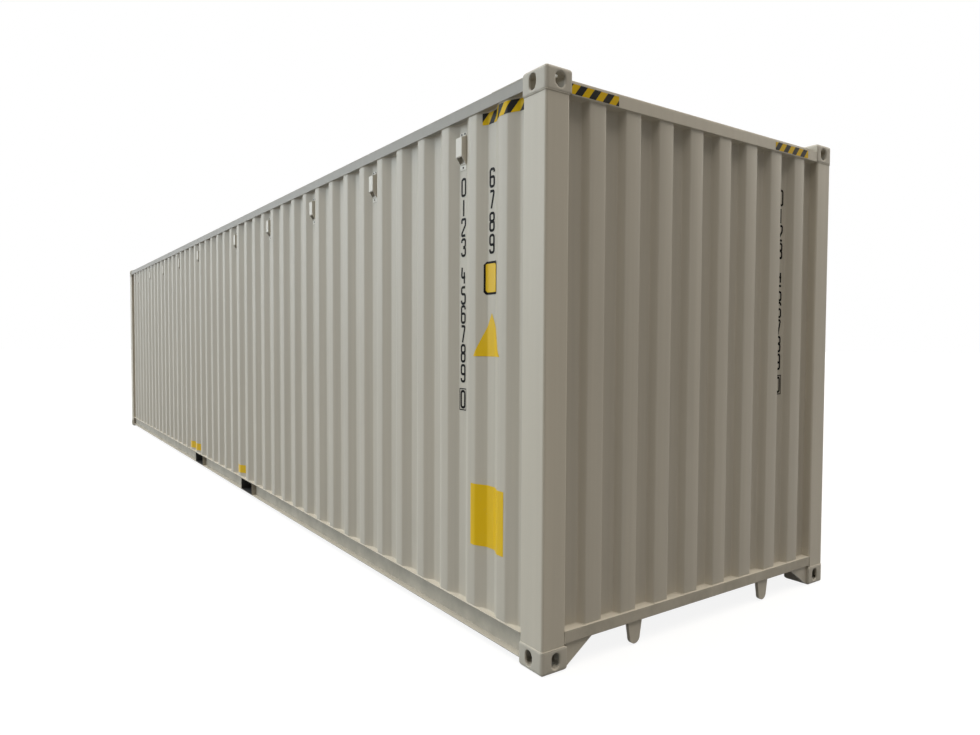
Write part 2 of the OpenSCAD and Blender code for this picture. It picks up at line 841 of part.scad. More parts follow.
// Outline of the door panel: flat at the top and bottom, pressed in at each recess
module door_panel_outline(ridge) {
    lean = slope_lean(door_slope_h, door_wave_d, wall_t);
    face = door_wave(ridge, 0, 0);
    rear = door_wave(ridge, lean, wall_t);
    polygon(concat([[0, 0]], face, [[panel_h, 0], [panel_h, wall_t]], reversed(rear), [[0, wall_t]]));
}

function door_wave(ridge, lean, back) = [
    for (k = [0 : door_recesses - 1])
        for (p = [
            [k * panel_pitch + ridge / 2 - lean, back],
            [k * panel_pitch + ridge / 2 + door_slope_h - lean, door_wave_d + back],
            [(k + 1) * panel_pitch - ridge / 2 - door_slope_h + lean, door_wave_d + back],
            [(k + 1) * panel_pitch - ridge / 2 + lean, back]
        ]) p
];

// Rubber frame between a leaf and the posts, header, sill and other leaf
module door_gasket(left) {
    color(RUBBER)
        at_corner(-1, left)
            translate([door_inset + gasket_setback, leaf_y0 - gasket_t, leaf_z0 - gasket_t])
                difference() {
                    cube([gasket_d, leaf_w + 2 * gasket_t, leaf_h + 2 * gasket_t]);
                    translate([-overrun, gasket_t, gasket_t])
                        cube([gasket_d + 2 * overrun, leaf_w, leaf_h]);
                }
}

// Distances of the rods from the outer corner
rod_ys = [for (share = rod_shares) leaf_y0 + share * leaf_w];

// Lock rods, each with a cam at its top and bottom
module lock_rods(left) {
    color(GALVANISED)
        at_corner(-1, left)
            for (y = rod_ys)
                translate([rod_inset, y, 0]) {
                    translate([0, 0, rod_z0]) cylinder(d = rod_d, h = rod_z1 - rod_z0);
                    for (z = [rod_z0, rod_z1 - cam_h])
                        translate([0, 0, z])
                            linear_extrude(cam_h) {
                                translate([-rod_d / 4, 0]) square([rod_d / 2, cam_reach]);
                                translate([0, cam_reach]) circle(d = rod_d / 2);
                            }
                }
}

// Bearing block that holds a rod to its leaf
module rod_bracket() {
    difference() {
        union() {
            translate([door_inset - bracket_t, -bracket_w / 2, 0])
                cube([bracket_t, bracket_w, bracket_h]);
            translate([rod_inset, -bracket_h / 2, 0])
                cube([door_inset - rod_inset, bracket_h, bracket_h]);
            translate([rod_inset, 0, 0]) cylinder(d = bracket_h, h = bracket_h);
        }
        translate([rod_inset, 0, -overrun])
            cylinder(d = rod_d + 2 * gear_gap, h = bracket_h + 2 * overrun);
    }
}

// Catch for a handle's free end: a block on the panel with a slot open to the rear
module handle_catch() {
    reach = door_inset - rod_inset + handle_t;
    slot_d = 3 / 2 * handle_t + gear_gap;
    slot_h = handle_h + 2 * gear_gap;
    difference() {
        translate([door_inset - reach, -catch_w / 2, -catch_h / 2])
            cube([reach, catch_w, catch_h]);
        translate([door_inset - reach - overrun, -catch_w / 2 - overrun, -slot_h / 2])
            cube([slot_d + overrun, catch_w + 2 * overrun, slot_h]);
    }
}

// Middle height of handle i of a leaf, and the way that it points across the leaf
function handle_z(i) = handle_mid_z + (i - 1 / 2) * handle_stagger;
function handle_way(i) = i == 0 ? 1 : -1;
handle_l = rod_ys[1] - rod_ys[0] - handle_end_gap;

module rod_brackets() {
    color(GALVANISED)
        for (left = [-1, 1])
            at_corner(-1, left) {
                for (y = rod_ys, z = bracket_zs)
                    translate([0, y, z - bracket_h / 2]) rod_bracket();
                for (i = [0 : len(rod_ys) - 1])
                    translate([0, rod_ys[i] + handle_way(i) * (handle_l - catch_w), handle_z(i)])
                        handle_catch();
            }
}

// Forked keepers on the sill and the header, above and below each cam
module cam_keepers() {
    reach = door_inset - rod_inset + rod_d / 4;
    color(GALVANISED)
        for (left = [-1, 1])
            at_corner(-1, left)
                for (y = rod_ys, z = [rod_z0, rod_z1 - cam_h])
                    translate([door_inset - reach, y + rod_d / 2 + gear_gap, z]) {
                        translate([0, 0, -keeper_t - gear_gap])
                            cube([reach, cam_reach, keeper_t]);
                        translate([0, 0, cam_h + gear_gap])
                            cube([reach, cam_reach, keeper_t]);
                    }
}

// Lock handles: a hub round each rod and a flat bar across the leaf
module lock_handles() {
    color(GALVANISED)
        for (left = [-1, 1])
            at_corner(-1, left)
                for (i = [0 : len(rod_ys) - 1])
                    translate([rod_inset, rod_ys[i], handle_z(i) - hub_h / 2])
                        difference() {
                            union() {
                                cylinder(r = hub_r, h = hub_h);
                                translate([
                                    -handle_t / 2, min(0, handle_way(i) * handle_l), (hub_h - handle_h) / 2
                                ])
                                    cube([handle_t, handle_l, handle_h]);
                            }
                            translate([0, 0, -overrun])
                                cylinder(d = rod_d + 2 * gear_gap, h = hub_h + 2 * overrun);
                        }
}

// Hinges: lugs with a pin on the post, and a leaf plate with a barrel round the pin
module door_hinges() {
    color(GALVANISED)
        for (left = [-1, 1])
            at_corner(-1, left)
                for (i = [0 : hinge_count - 1])
                    translate([0, 0, leaf_z0 + leaf_h * (i + 1 / 2) / hinge_count - hinge_h / 2])
                        door_hinge();
}

module door_hinge() {
    post_y = frame_inset + rear_post_w;
    for (z = [-hinge_lug_t - gear_gap, hinge_h + gear_gap])
        translate([hinge_x - hinge_barrel_r, post_y, z])
            cube([2 * hinge_barrel_r, hinge_y - post_y + hinge_barrel_r, hinge_lug_t]);
    translate([hinge_x, hinge_y, -hinge_lug_t])
        cylinder(r = hinge_pin_r, h = hinge_h + 2 * hinge_lug_t);
    difference() {
        union() {
            translate([hinge_x, hinge_y, 0]) cylinder(r = hinge_barrel_r, h = hinge_h);
            translate([hinge_x, hinge_y, 0])
                cube([door_inset - hinge_x, hinge_barrel_r, hinge_h]);
            translate([door_inset - hinge_leaf_t, hinge_y, 0])
                cube([hinge_leaf_t, door_stile_w, hinge_h]);
        }
        translate([hinge_x, hinge_y, -overrun])
            cylinder(r = hinge_pin_r + gear_gap, h = hinge_h + 2 * overrun);
    }
}

casting_pair(1, false);  // front_bottom_castings
casting_pair(-1, false);  // rear_bottom_castings
casting_pair(1, true);  // front_top_castings
casting_pair(-1, true);  // rear_top_castings
front_post(-1);  // right_front_post
front_post(1);  // left_front_post
rear_post(-1);  // right_rear_post
rear_post(1);  // left_rear_post
top_side_rail(-1);  // right_top_rail
top_side_rail(1);  // left_top_rail
bottom_side_rail(-1);  // right_bottom_rail
bottom_side_rail(1);  // left_bottom_rail
front_top_rail();
front_bottom_rail();
front_header_plate();
door_header();
door_sill();
side_wall(-1);  // right_side_wall
side_wall(1);  // left_side_wall
front_wall();
roof();
roof_corner_plates();
floor_deck();
cross_members();
gooseneck_tunnel();
tunnel_outriggers();
fork_pocket(pocket_front_x);  // front_fork_pocket
fork_pocket(pocket_rear_x);  // rear_fork_pocket
tunnel_guides();
corner_gussets();
vents(-1);  // right_vents
vents(1);  // left_vents
door_frame(-1);  // right_door_frame
door_frame(1);  // left_door_frame
door_panel(-1);  // right_door_panel
door_panel(1);  // left_door_panel
door_gasket(-1);  // right_door_gasket
door_gasket(1);  // left_door_gasket
lock_rods(-1);  // right_lock_rods
lock_rods(1);  // left_lock_rods
rod_brackets();
cam_keepers();
lock_handles();
door_hinges();
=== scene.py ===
# %% [markdown]
# # Dressing a forty-foot shipping container
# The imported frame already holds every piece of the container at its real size: castings, posts,
# rails, corrugated walls, roof, underside and doors. This lesson gives that frame its looks.
# It rounds the bends of the pressed sheets, softens the castings, adds the welds, rivets, tape,
# bolts, numbers and blank label patches, and builds a finish for each surface.

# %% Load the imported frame
import json
import math

import bmesh
import bpy
from mathutils import Matrix, Vector


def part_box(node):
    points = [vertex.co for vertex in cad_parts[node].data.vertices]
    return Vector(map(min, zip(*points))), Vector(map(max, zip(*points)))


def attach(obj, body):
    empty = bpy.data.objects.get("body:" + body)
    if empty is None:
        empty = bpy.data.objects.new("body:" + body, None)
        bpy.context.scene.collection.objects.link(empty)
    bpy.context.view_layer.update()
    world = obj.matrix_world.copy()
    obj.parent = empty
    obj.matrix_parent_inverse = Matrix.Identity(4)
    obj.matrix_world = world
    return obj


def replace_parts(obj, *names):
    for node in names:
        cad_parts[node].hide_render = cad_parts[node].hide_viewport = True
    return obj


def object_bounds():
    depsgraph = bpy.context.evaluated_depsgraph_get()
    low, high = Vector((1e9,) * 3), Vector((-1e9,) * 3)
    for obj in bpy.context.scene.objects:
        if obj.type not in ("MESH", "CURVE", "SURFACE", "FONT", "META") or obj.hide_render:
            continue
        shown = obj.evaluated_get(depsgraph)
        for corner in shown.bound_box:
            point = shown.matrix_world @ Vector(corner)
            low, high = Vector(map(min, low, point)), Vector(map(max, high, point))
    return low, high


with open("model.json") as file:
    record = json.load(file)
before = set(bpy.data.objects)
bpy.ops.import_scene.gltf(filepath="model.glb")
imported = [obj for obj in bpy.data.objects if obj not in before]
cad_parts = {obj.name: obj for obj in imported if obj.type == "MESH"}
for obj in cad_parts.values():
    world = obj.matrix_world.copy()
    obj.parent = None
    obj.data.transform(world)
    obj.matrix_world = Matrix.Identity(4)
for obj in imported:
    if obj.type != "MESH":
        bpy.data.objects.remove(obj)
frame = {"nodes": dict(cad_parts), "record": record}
nodes = frame["nodes"]
cad_low, cad_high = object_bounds()
print("frame:", len(nodes), "nodes, size", [round(v, 3) for v in cad_high - cad_low])

# %% [markdown]
# ## Camera
# The photograph was taken close to the container with a wide lens, a little above the middle of
# its height. A camera that is fitted to the castings' corners gives the place, the heading, the
# slight roll and the lens. Blender's camera looks along its own -Z, so the matrix is built from
# the three directions right, up and back.

# %% Place the camera
CAMERA_PLACE = Vector((8.64788, -3.32380, 1.60433))
CAMERA_AZIMUTH = math.radians(54.8637)
CAMERA_ELEVATION = math.radians(2.1123)
CAMERA_ROLL = math.radians(-0.2788)
CAMERA_LENS_MM = 25.884
CAMERA_SENSOR_MM = 36.0
CAMERA_REACH = 500.0


def camera_turn(azimuth, elevation, roll):
    """Returns the camera's rotation from its heading, its height angle and its roll."""
    back = Vector((
        math.sin(azimuth) * math.cos(elevation),
        -math.cos(azimuth) * math.cos(elevation),
        math.sin(elevation),
    ))
    right = Vector((math.cos(azimuth), math.sin(azimuth), 0.0))
    up = back.cross(right)
    rolled_right = math.cos(roll) * right - math.sin(roll) * up
    rolled_up = math.sin(roll) * right + math.cos(roll) * up
    return Matrix((rolled_right, rolled_up, back)).transposed().to_euler()


bpy.ops.object.camera_add(
    location=CAMERA_PLACE,
    rotation=camera_turn(CAMERA_AZIMUTH, CAMERA_ELEVATION, CAMERA_ROLL),
)
camera = bpy.context.object
camera.data.lens = CAMERA_LENS_MM
camera.data.sensor_width = CAMERA_SENSOR_MM
camera.data.sensor_fit = "HORIZONTAL"
camera.data.clip_end = CAMERA_REACH
bpy.context.scene.camera = camera
print("camera at", [round(v, 3) for v in camera.location])

# %% [markdown]
# ## Node trees in few words
# Every finish below is a small tree of shader nodes. A few helpers keep the cells short: they add
# a node and feed its sockets, start a node group with named sockets, and start a material.

# %% Helpers for nodes


def set_sockets(tree, node, **sockets):
    """Feeds sockets with values or other sockets; a name has _ for a space, a number is _0."""
    for name, value in sockets.items():
        key = int(name[1:]) if name[0] == "_" else name.replace("_", " ")
        if isinstance(value, bpy.types.NodeSocket):
            tree.links.new(value, node.inputs[key])
        else:
            node.inputs[key].default_value = value


def add(tree, kind, label=None, settings=None, **sockets):
    """Adds a node with a label, its own settings and its sockets."""
    node = tree.nodes.new("ShaderNode" + kind)
    if label:
        node.label = label
    for name, value in (settings or {}).items():
        setattr(node, name, value)
    set_sockets(tree, node, **sockets)
    return node


def math_node(tree, operation, a, b=0.0, clamp=False):
    """Adds a Math node and returns its result."""
    node = add(tree, "Math", settings={"operation": operation, "use_clamp": clamp}, _0=a, _1=b)
    return node.outputs[0]


def ramp(tree, value, low, high, to_low=0.0, to_high=1.0):
    """Maps a value from one range to another, and clamps it there."""
    node = add(
        tree, "MapRange", Value=value, From_Min=low, From_Max=high, To_Min=to_low, To_Max=to_high
    )
    return node.outputs[0]


def mix_colour(tree, factor, a, b, blend="MIX"):
    """Mixes two colours and returns the result."""
    settings = {"data_type": "RGBA", "blend_type": blend}
    return add(tree, "Mix", settings=settings, _0=factor, _6=a, _7=b).outputs[2]


print("node helpers:", set_sockets.__name__, add.__name__, ramp.__name__, mix_colour.__name__)

# %% [markdown]
# A node group is a small tree with named inputs and outputs. It is built once and placed in many
# materials, each time with its own values.

# %% Helpers for groups and materials


def new_group(name, inputs, outputs):
    """Starts a shader node group: inputs give a kind and a default, outputs a kind."""
    tree = bpy.data.node_groups.new(name, "ShaderNodeTree")
    for socket, (kind, default) in inputs.items():
        made = tree.interface.new_socket(socket, in_out="INPUT", socket_type="NodeSocket" + kind)
        made.default_value = default
    for socket, kind in outputs.items():
        tree.interface.new_socket(socket, in_out="OUTPUT", socket_type="NodeSocket" + kind)
    start = tree.nodes.new("NodeGroupInput")
    end = tree.nodes.new("NodeGroupOutput")
    return tree, start.outputs, end.inputs


def place_group(tree, group, **values):
    """Puts a node group into a material with its own values."""
    node = tree.nodes.new("ShaderNodeGroup")
    node.node_tree = group
    set_sockets(tree, node, **values)
    return node.outputs


def new_material(name):
    """Starts a material and returns it, its tree and its Principled shader."""
    material = bpy.data.materials.new(name)
    material.use_nodes = True
    tree = material.node_tree
    return material, tree, tree.nodes["Principled BSDF"]


print("group helpers:", new_group.__name__, place_group.__name__, new_material.__name__)

# %% [markdown]
# ## The weathered coat
# The container is nearly new: an off-white satin paint, sprayed on steel. Sprayed paint is never
# one flat colour. It drifts a little from sheet to sheet, rain leaves faint upright streaks, road
# dust splashes on what stands upright near the ground, and corners rub through first. Where the
# dust is laid on thick, the same darkening is painted shade on the upright faces near the ground.
# All of that is one node group, so that walls, posts, castings and undercoat share it with their
# own amounts.

# %% Weathered coat: its tone
PALE = (0.57, 0.527, 0.445, 1.0)
BARE = (0.25, 0.22, 0.19, 1.0)
STREAK_STRETCH = (23.0, 23.0, 0.45)

coat_group, coat_in, coat_out = new_group(
    "weathered_coat",
    {
        "Coat": ("Color", PALE),
        "Worn": ("Color", BARE),
        "Drift": ("Float", 0.06),
        "Streaks": ("Float", 0.05),
        "Dust": ("Float", 0.16),
        "Wear": ("Float", 0.0),
        "Rough": ("Float", 0.42),
        "Edge Radius": ("Float", 0.004),
    },
    {"Color": "Color", "Roughness": "Float", "Height": "Float", "Rounded": "Vector"},
)
t = coat_group
place = add(t, "TexCoord").outputs["Object"]

drift_noise = add(t, "TexNoise", "slow drift", Vector=place, Scale=0.9, Detail=3.0).outputs["Fac"]
drift = math_node(t, "MULTIPLY", math_node(t, "SUBTRACT", drift_noise, 0.5), coat_in["Drift"])

streak_place = add(t, "Mapping", Vector=place, Scale=STREAK_STRETCH).outputs[0]
streak_noise = add(t, "TexNoise", "rain streaks", Vector=streak_place, Scale=1.0, Detail=4.0)
streak = math_node(t, "SUBTRACT", ramp(t, streak_noise.outputs["Fac"], 0.35, 0.7), 0.5)
streak = math_node(t, "MULTIPLY", streak, coat_in["Streaks"])

shade = math_node(t, "ADD", math_node(t, "ADD", drift, streak), 1.0)
grey = add(t, "CombineColor", Red=shade, Green=shade, Blue=shade).outputs[0]
toned = mix_colour(t, 1.0, coat_in["Coat"], grey, "MULTIPLY")
print("coat tone has", len(coat_group.nodes), "nodes")

# %% [markdown]
# Road dust fades out with height and is kept off faces that look up, so that ledges stay bright
# while the upright faces below them darken: partly dust, partly painted shade. Chips are found
# by the Bevel node: where its rounded normal leaves the flat one, there is an edge.

# %% Weathered coat: road dust with painted shade, and chips
# The colour of road dust; laid on thick near the ground, it is painted shade as well.
DUST_AND_SHADE = (0.33, 0.305, 0.255, 1.0)
SPLASH_TOP = 0.75
SPLASH_FOOT = 0.02
EDGE_SAMPLES = 4

high_up = add(t, "SeparateXYZ", Vector=place).outputs["Z"]
splash_noise = add(
    t, "TexNoise", "road splash", Vector=place, Scale=7.0, Detail=5.0, Roughness=0.65
)
near_ground = ramp(t, high_up, SPLASH_TOP, SPLASH_FOOT)
splash_and_shade = math_node(t, "MULTIPLY", near_ground, ramp(t, splash_noise.outputs["Fac"], 0.10, 0.82))
splash_and_shade = math_node(t, "MULTIPLY", splash_and_shade, coat_in["Dust"])
flat_normal = add(t, "NewGeometry").outputs["Normal"]
facing_up = add(t, "SeparateXYZ", Vector=flat_normal).outputs["Z"]
# Faces that look up stay clear, so upright faces near the ground darken: dust and painted shade.
splash_and_shade = math_node(t, "MULTIPLY", splash_and_shade, ramp(t, facing_up, 0.0, 0.5, 1.0, 0.0))
dusty_and_shaded = mix_colour(t, splash_and_shade, toned, DUST_AND_SHADE)

edge_finder = {"samples": EDGE_SAMPLES}
rounded = add(t, "Bevel", settings=edge_finder, Radius=coat_in["Edge Radius"]).outputs[0]
turned = add(t, "VectorMath", settings={"operation": "DOT_PRODUCT"}, _0=rounded, _1=flat_normal)
on_edge = ramp(t, turned.outputs["Value"], 0.97, 0.80)
chip_noise = add(t, "TexNoise", "chips", Vector=place, Scale=38.0, Detail=4.0, Roughness=0.7)
chipped = math_node(t, "MULTIPLY", on_edge, ramp(t, chip_noise.outputs["Fac"], 0.52, 0.60))
chipped = math_node(t, "MULTIPLY", chipped, coat_in["Wear"])
t.links.new(mix_colour(t, chipped, dusty_and_shaded, coat_in["Worn"]), coat_out["Color"])
print("with dust and chips", len(coat_group.nodes), "nodes")

# %% [markdown]
# Dust, and the painted shade that shares its mask, also take the sheen away. The relief is
# small: the grain of sprayed paint, and the slow waves of thin sheet.

# %% Weathered coat: sheen and relief
DUST_ROUGHENS = 0.3
SHEEN_DRIFT = 0.12
PEEL_H = 0.0004
WAVE_H = 0.010
WAVE_STRETCH = (5.0, 5.0, 0.8)

matt = math_node(t, "ADD", coat_in["Rough"], math_node(t, "MULTIPLY", splash_and_shade, DUST_ROUGHENS))
sheen = math_node(t, "SUBTRACT", streak_noise.outputs["Fac"], 0.5)
sheen = math_node(t, "MULTIPLY", sheen, SHEEN_DRIFT)
t.links.new(math_node(t, "ADD", matt, sheen, clamp=True), coat_out["Roughness"])

peel = add(t, "TexNoise", "orange peel", Vector=place, Scale=420.0, Detail=1.0).outputs["Fac"]
peel = math_node(t, "MULTIPLY", peel, PEEL_H)
wave_place = add(t, "Mapping", Vector=place, Scale=WAVE_STRETCH).outputs[0]
wave = add(t, "TexNoise", "sheet waviness", Vector=wave_place, Scale=1.0, Detail=1.0).outputs["Fac"]
wave = math_node(t, "MULTIPLY", wave, WAVE_H)
t.links.new(math_node(t, "ADD", peel, wave), coat_out["Height"])
t.links.new(rounded, coat_out["Rounded"])
print("group", coat_group.name, "has", len(coat_group.nodes), "nodes")

# %% [markdown]
# ## Painted finishes
# A painted finish is the weathered coat, fed into one shader. Its relief goes through a Bump node,
# which starts from the rounded normal, so that painted edges catch the light.

# %% One painted finish
COAT_RELIEF = 0.35


def coat_material(name, height_scale=1.0, metal=0.0, specular=0.4, **values):
    """Makes a painted finish from the weathered coat with its own values."""
    material, tree, shader = new_material(name)
    coat = place_group(tree, coat_group, **values)
    bump = add(
        tree, "Bump", Strength=COAT_RELIEF, Distance=height_scale,
        Height=coat["Height"], Normal=coat["Rounded"],
    )
    set_sockets(
        tree, shader, Base_Color=coat["Color"], Roughness=coat["Roughness"],
        Normal=bump.outputs[0], Metallic=metal, Specular_IOR_Level=specular,
    )
    return material


print("painted finishes have a relief strength of", COAT_RELIEF)

# %% [markdown]
# Seven paints share that group. The posts and walls are satin, the walls a little darker. The top
# side rails are darker still and cooler, and the lowest rails are the posts' paint under far more
# road dust, which there is painted shade as well as dust: it darkens their upright faces and
# leaves their ledges bright. The castings are painted cast steel, so they are rougher and chip at
# their corners. The vents were painted apart and are a little lighter. The bitumen on the
# underside is black, thick and lumpy.

# %% Materials: paints and undercoat
SHEET = (0.522, 0.484, 0.412, 1.0)
RAIL = (0.40, 0.385, 0.355, 1.0)
SATIN_SHINE = 0.3
RAIL_SHINE = 0.1
CASTING = (0.49, 0.458, 0.392, 1.0)
VENT = (0.66, 0.625, 0.55, 1.0)
UNDERCOAT = (0.022, 0.022, 0.021, 1.0)
UNDERCOAT_WORN = (0.07, 0.06, 0.05, 1.0)

satin_paint = coat_material("satin_paint", specular=SATIN_SHINE, Coat=PALE, Wear=0.25, Rough=0.42)
rail_paint = coat_material("rail_paint", specular=RAIL_SHINE, Coat=RAIL, Wear=0.25, Rough=0.42)
# Heavy road dust here is painted shade as well: it darkens the rails' upright faces, not their ledges.
sill_paint_dust_and_shade = coat_material(
    "sill_paint_dust_and_shade", specular=SATIN_SHINE, Coat=PALE, Wear=0.35, Rough=0.46, Dust=1.0
)
sheet_paint = coat_material(
    "sheet_paint", specular=SATIN_SHINE, Coat=SHEET, Wear=0.0, Rough=0.42, Streaks=0.07,
    Edge_Radius=0.003,
)
casting_paint = coat_material(
    "casting_paint", Coat=CASTING, Wear=0.6, Rough=0.55, Dust=0.15, Drift=0.10, Edge_Radius=0.008
)
vent_paint = coat_material("vent_paint", Coat=VENT, Rough=0.38, Dust=0.0, Edge_Radius=0.002)
bitumen = coat_material(
    "bitumen", height_scale=2.0, Coat=UNDERCOAT, Worn=UNDERCOAT_WORN, Wear=0.3, Rough=0.62,
    Dust=0.45, Drift=0.5, Streaks=0.0, Edge_Radius=0.003,
)
for paint in (satin_paint, rail_paint, sill_paint_dust_and_shade, sheet_paint, casting_paint, vent_paint, bitumen):
    print("paint:", paint.name)

# %% [markdown]
# ## Fork pockets
# A fork pocket is a flat tube right across the container, and only undercoat reaches its inside.
# Its two mouths stand in the channels of the bottom rails, and there its outer skin was sprayed
# together with the rail, under the same heavy road dust that is partly painted shade. One finish
# carries both coats, and a mask chooses between them: undercoat inside the tube and behind the
# rails' webs, paint on what is left.

# %% Materials: fork pockets
RAIL_WEB_Y = 1.173
POCKET_HALF_PLATE = 0.002


def within(tree, value, middle, reach):
    """Returns one where a value is nearer to the middle than reach, and nought elsewhere."""
    away = math_node(tree, "ABSOLUTE", math_node(tree, "SUBTRACT", value, middle))
    return math_node(tree, "LESS_THAN", away, reach)


def pocket_material(node):
    """Makes the finish of one fork pocket, from the places of its own walls."""
    low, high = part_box(node)
    middle, half = (low + high) / 2, (high - low) / 2
    material, tree, shader = new_material(node + "_finish")
    spot = add(tree, "SeparateXYZ", Vector=add(tree, "TexCoord").outputs["Object"]).outputs
    inside = math_node(
        tree, "MULTIPLY",
        within(tree, spot["X"], middle.x, half.x - POCKET_HALF_PLATE),
        within(tree, spot["Z"], middle.z, half.z - POCKET_HALF_PLATE),
    )
    dark = math_node(tree, "MAXIMUM", inside, within(tree, spot["Y"], middle.y, RAIL_WEB_Y))
    black = place_group(
        tree, coat_group, Coat=UNDERCOAT, Rough=0.62, Dust=0.1, Drift=0.5, Streaks=0.0
    )
    # The painted part takes heavy road dust, partly painted shade on its upright faces.
    pale_dust_and_shade = place_group(tree, coat_group, Coat=PALE, Rough=0.46, Dust=1.0)
    rough = add(tree, "Mix", _0=dark, _2=pale_dust_and_shade["Roughness"], _3=black["Roughness"])
    bump = add(
        tree, "Bump", Strength=COAT_RELIEF, Distance=1.0, Height=pale_dust_and_shade["Height"], Normal=pale_dust_and_shade["Rounded"]
    )
    set_sockets(
        tree, shader, Base_Color=mix_colour(tree, dark, pale_dust_and_shade["Color"], black["Color"]),
        Roughness=rough.outputs[0], Normal=bump.outputs[0], Specular_IOR_Level=SATIN_SHINE,
    )
    return material


pocket_paints = {node: pocket_material(node) for node in ("front_fork_pocket", "rear_fork_pocket")}
print("fork pockets:", [material.name for material in pocket_paints.values()])

# %% [markdown]
# ## Bare finishes
# The lock gear on the doors is galvanised: zinc freezes on the steel as flat crystals, several
# millimetres wide, each at its own brightness. A Voronoi texture gives those spangles, and a
# noise the white stain that comes with rain.

# %% Material: galvanised steel
ZINC_DARK = (0.36, 0.37, 0.38, 1.0)
ZINC_LIGHT = (0.52, 0.53, 0.54, 1.0)
ZINC_STAIN = (0.60, 0.60, 0.58, 1.0)
ZINC_EDGE = 0.003

galvanised, t, shader = new_material("galvanised_gear")
place = add(t, "TexCoord").outputs["Object"]
spangle = add(t, "TexVoronoi", "zinc spangles", Vector=place, Scale=130.0).outputs["Color"]
spangle = add(t, "SeparateColor", Color=spangle).outputs["Red"]
stain = add(t, "TexNoise", "white stain", Vector=place, Scale=9.0, Detail=5.0).outputs["Fac"]
zinc = mix_colour(t, spangle, ZINC_DARK, ZINC_LIGHT)
soft_edge = add(t, "Bevel", settings=edge_finder, Radius=ZINC_EDGE).outputs[0]
bump = add(t, "Bump", Strength=0.15, Distance=0.001, Height=stain, Normal=soft_edge)
set_sockets(
    t, shader,
    Base_Color=mix_colour(t, ramp(t, stain, 0.52, 0.75, 0.0, 0.5), zinc, ZINC_STAIN),
    Roughness=ramp(t, spangle, 0.0, 1.0, 0.38, 0.56),
    Metallic=ramp(t, stain, 0.5, 0.8, 0.75, 0.35),
    Normal=bump.outputs[0],
)
print("bare finish:", galvanised.name)

# %% [markdown]
# The floor is plywood in sheets. A stretched noise is the grain, and a brick texture with thin
# dark joints lays the sheets, each a little lighter or darker than the next.

# %% Material: plywood
PLY_SHEET = (2.4, 1.2)
PLY_JOINT = 0.004
GRAIN_STRETCH = (1.6, 22.0, 22.0)
VENEER_DARK = (0.26, 0.13, 0.06, 1.0)
VENEER_LIGHT = (0.50, 0.30, 0.16, 1.0)

plywood, t, shader = new_material("floor_plywood")
place = add(t, "TexCoord").outputs["Object"]
grain_place = add(t, "Mapping", Vector=place, Scale=GRAIN_STRETCH).outputs[0]
grain = add(
    t, "TexNoise", "veneer grain", Vector=grain_place, Scale=2.2, Detail=6.0, Distortion=0.6
).outputs["Fac"]
sheets = add(
    t, "TexBrick", "sheets", settings={"offset": 0.5}, Vector=place, Scale=1.0,
    Color1=(0.9, 0.9, 0.9, 1.0), Color2=(1.1, 1.1, 1.1, 1.0), Mortar=(0.1, 0.09, 0.08, 1.0),
    Mortar_Size=PLY_JOINT, Brick_Width=PLY_SHEET[0], Row_Height=PLY_SHEET[1],
)
veneer = mix_colour(t, grain, VENEER_DARK, VENEER_LIGHT)
bump = add(t, "Bump", Strength=0.3, Distance=0.002, Height=grain)
set_sockets(
    t, shader,
    Base_Color=mix_colour(t, 1.0, veneer, sheets.outputs["Color"], "MULTIPLY"),
    Roughness=ramp(t, grain, 0.3, 0.7, 0.42, 0.6),
    Normal=bump.outputs[0],
)
print("bare finish:", plywood.name)

# %% [markdown]
# The door seals are black rubber that whitens with dust. The vents' rivets are steel coloured
# near black, as painted shade for the dark of their holes and of the shadows round their heads;
# the weathered coat serves for them too, with some metal in it.

# %% Materials: rubber and rivets
RUBBER = (0.012, 0.012, 0.012, 1.0)
RUBBER_DUSTY = (0.05, 0.048, 0.045, 1.0)
# Near black: painted shade for the rivets' holes and the shadows round their heads.
RIVET_SHADE = (0.07, 0.068, 0.065, 1.0)

rubber, t, shader = new_material("seal_rubber")
place = add(t, "TexCoord").outputs["Object"]
bloom = add(t, "TexNoise", "dust bloom", Vector=place, Scale=14.0, Detail=6.0).outputs["Fac"]
bump = add(t, "Bump", Strength=0.2, Distance=0.001, Height=bloom)
set_sockets(
    t, shader,
    Base_Color=mix_colour(t, ramp(t, bloom, 0.4, 0.75), RUBBER, RUBBER_DUSTY),
    Roughness=ramp(t, bloom, 0.3, 0.7, 0.55, 0.8),
    Normal=bump.outputs[0],
)
rivet_steel_shaded = coat_material(
    "rivet_steel_shaded", metal=0.6, Coat=RIVET_SHADE, Rough=0.4, Dust=0.0, Edge_Radius=0.001
)
print("bare finishes:", rubber.name, rivet_steel_shaded.name)

# %% [markdown]
# ## Dress the frame
# The record says which finish each node takes. A node keeps its mesh, and only its material
# slots are filled. The rails, the door sill and the fork pockets then get their own paint.

# %% Give every node its finish
FINISHES = {
    "paint": satin_paint,
    "casting": casting_paint,
    "vent": vent_paint,
    "plywood": plywood,
    "undercoat": bitumen,
    "rubber": rubber,
    "galvanised": galvanised,
}


def dress(piece, material):
    """Leaves a piece with one material."""
    piece.data.materials.clear()
    piece.data.materials.append(material)


for subpart in frame["record"]["subparts"]:
    dress(nodes[subpart["node"]], FINISHES[subpart["material_slot"]])
# The lowest rails take the paint whose heavy road dust is partly painted shade.
for node in ("front_bottom_rail", "right_bottom_rail", "left_bottom_rail", "door_sill"):
    dress(nodes[node], sill_paint_dust_and_shade)
for node in ("right_top_rail", "left_top_rail"):
    dress(nodes[node], rail_paint)
for node, material in pocket_paints.items():
    dress(nodes[node], material)

# %% [markdown]
# ## Working by hand, in code
# New pieces are made with the same operators that a person uses. An operator acts on whatever is
# selected, so each step first selects exactly what it needs.

# %% Helpers for selecting


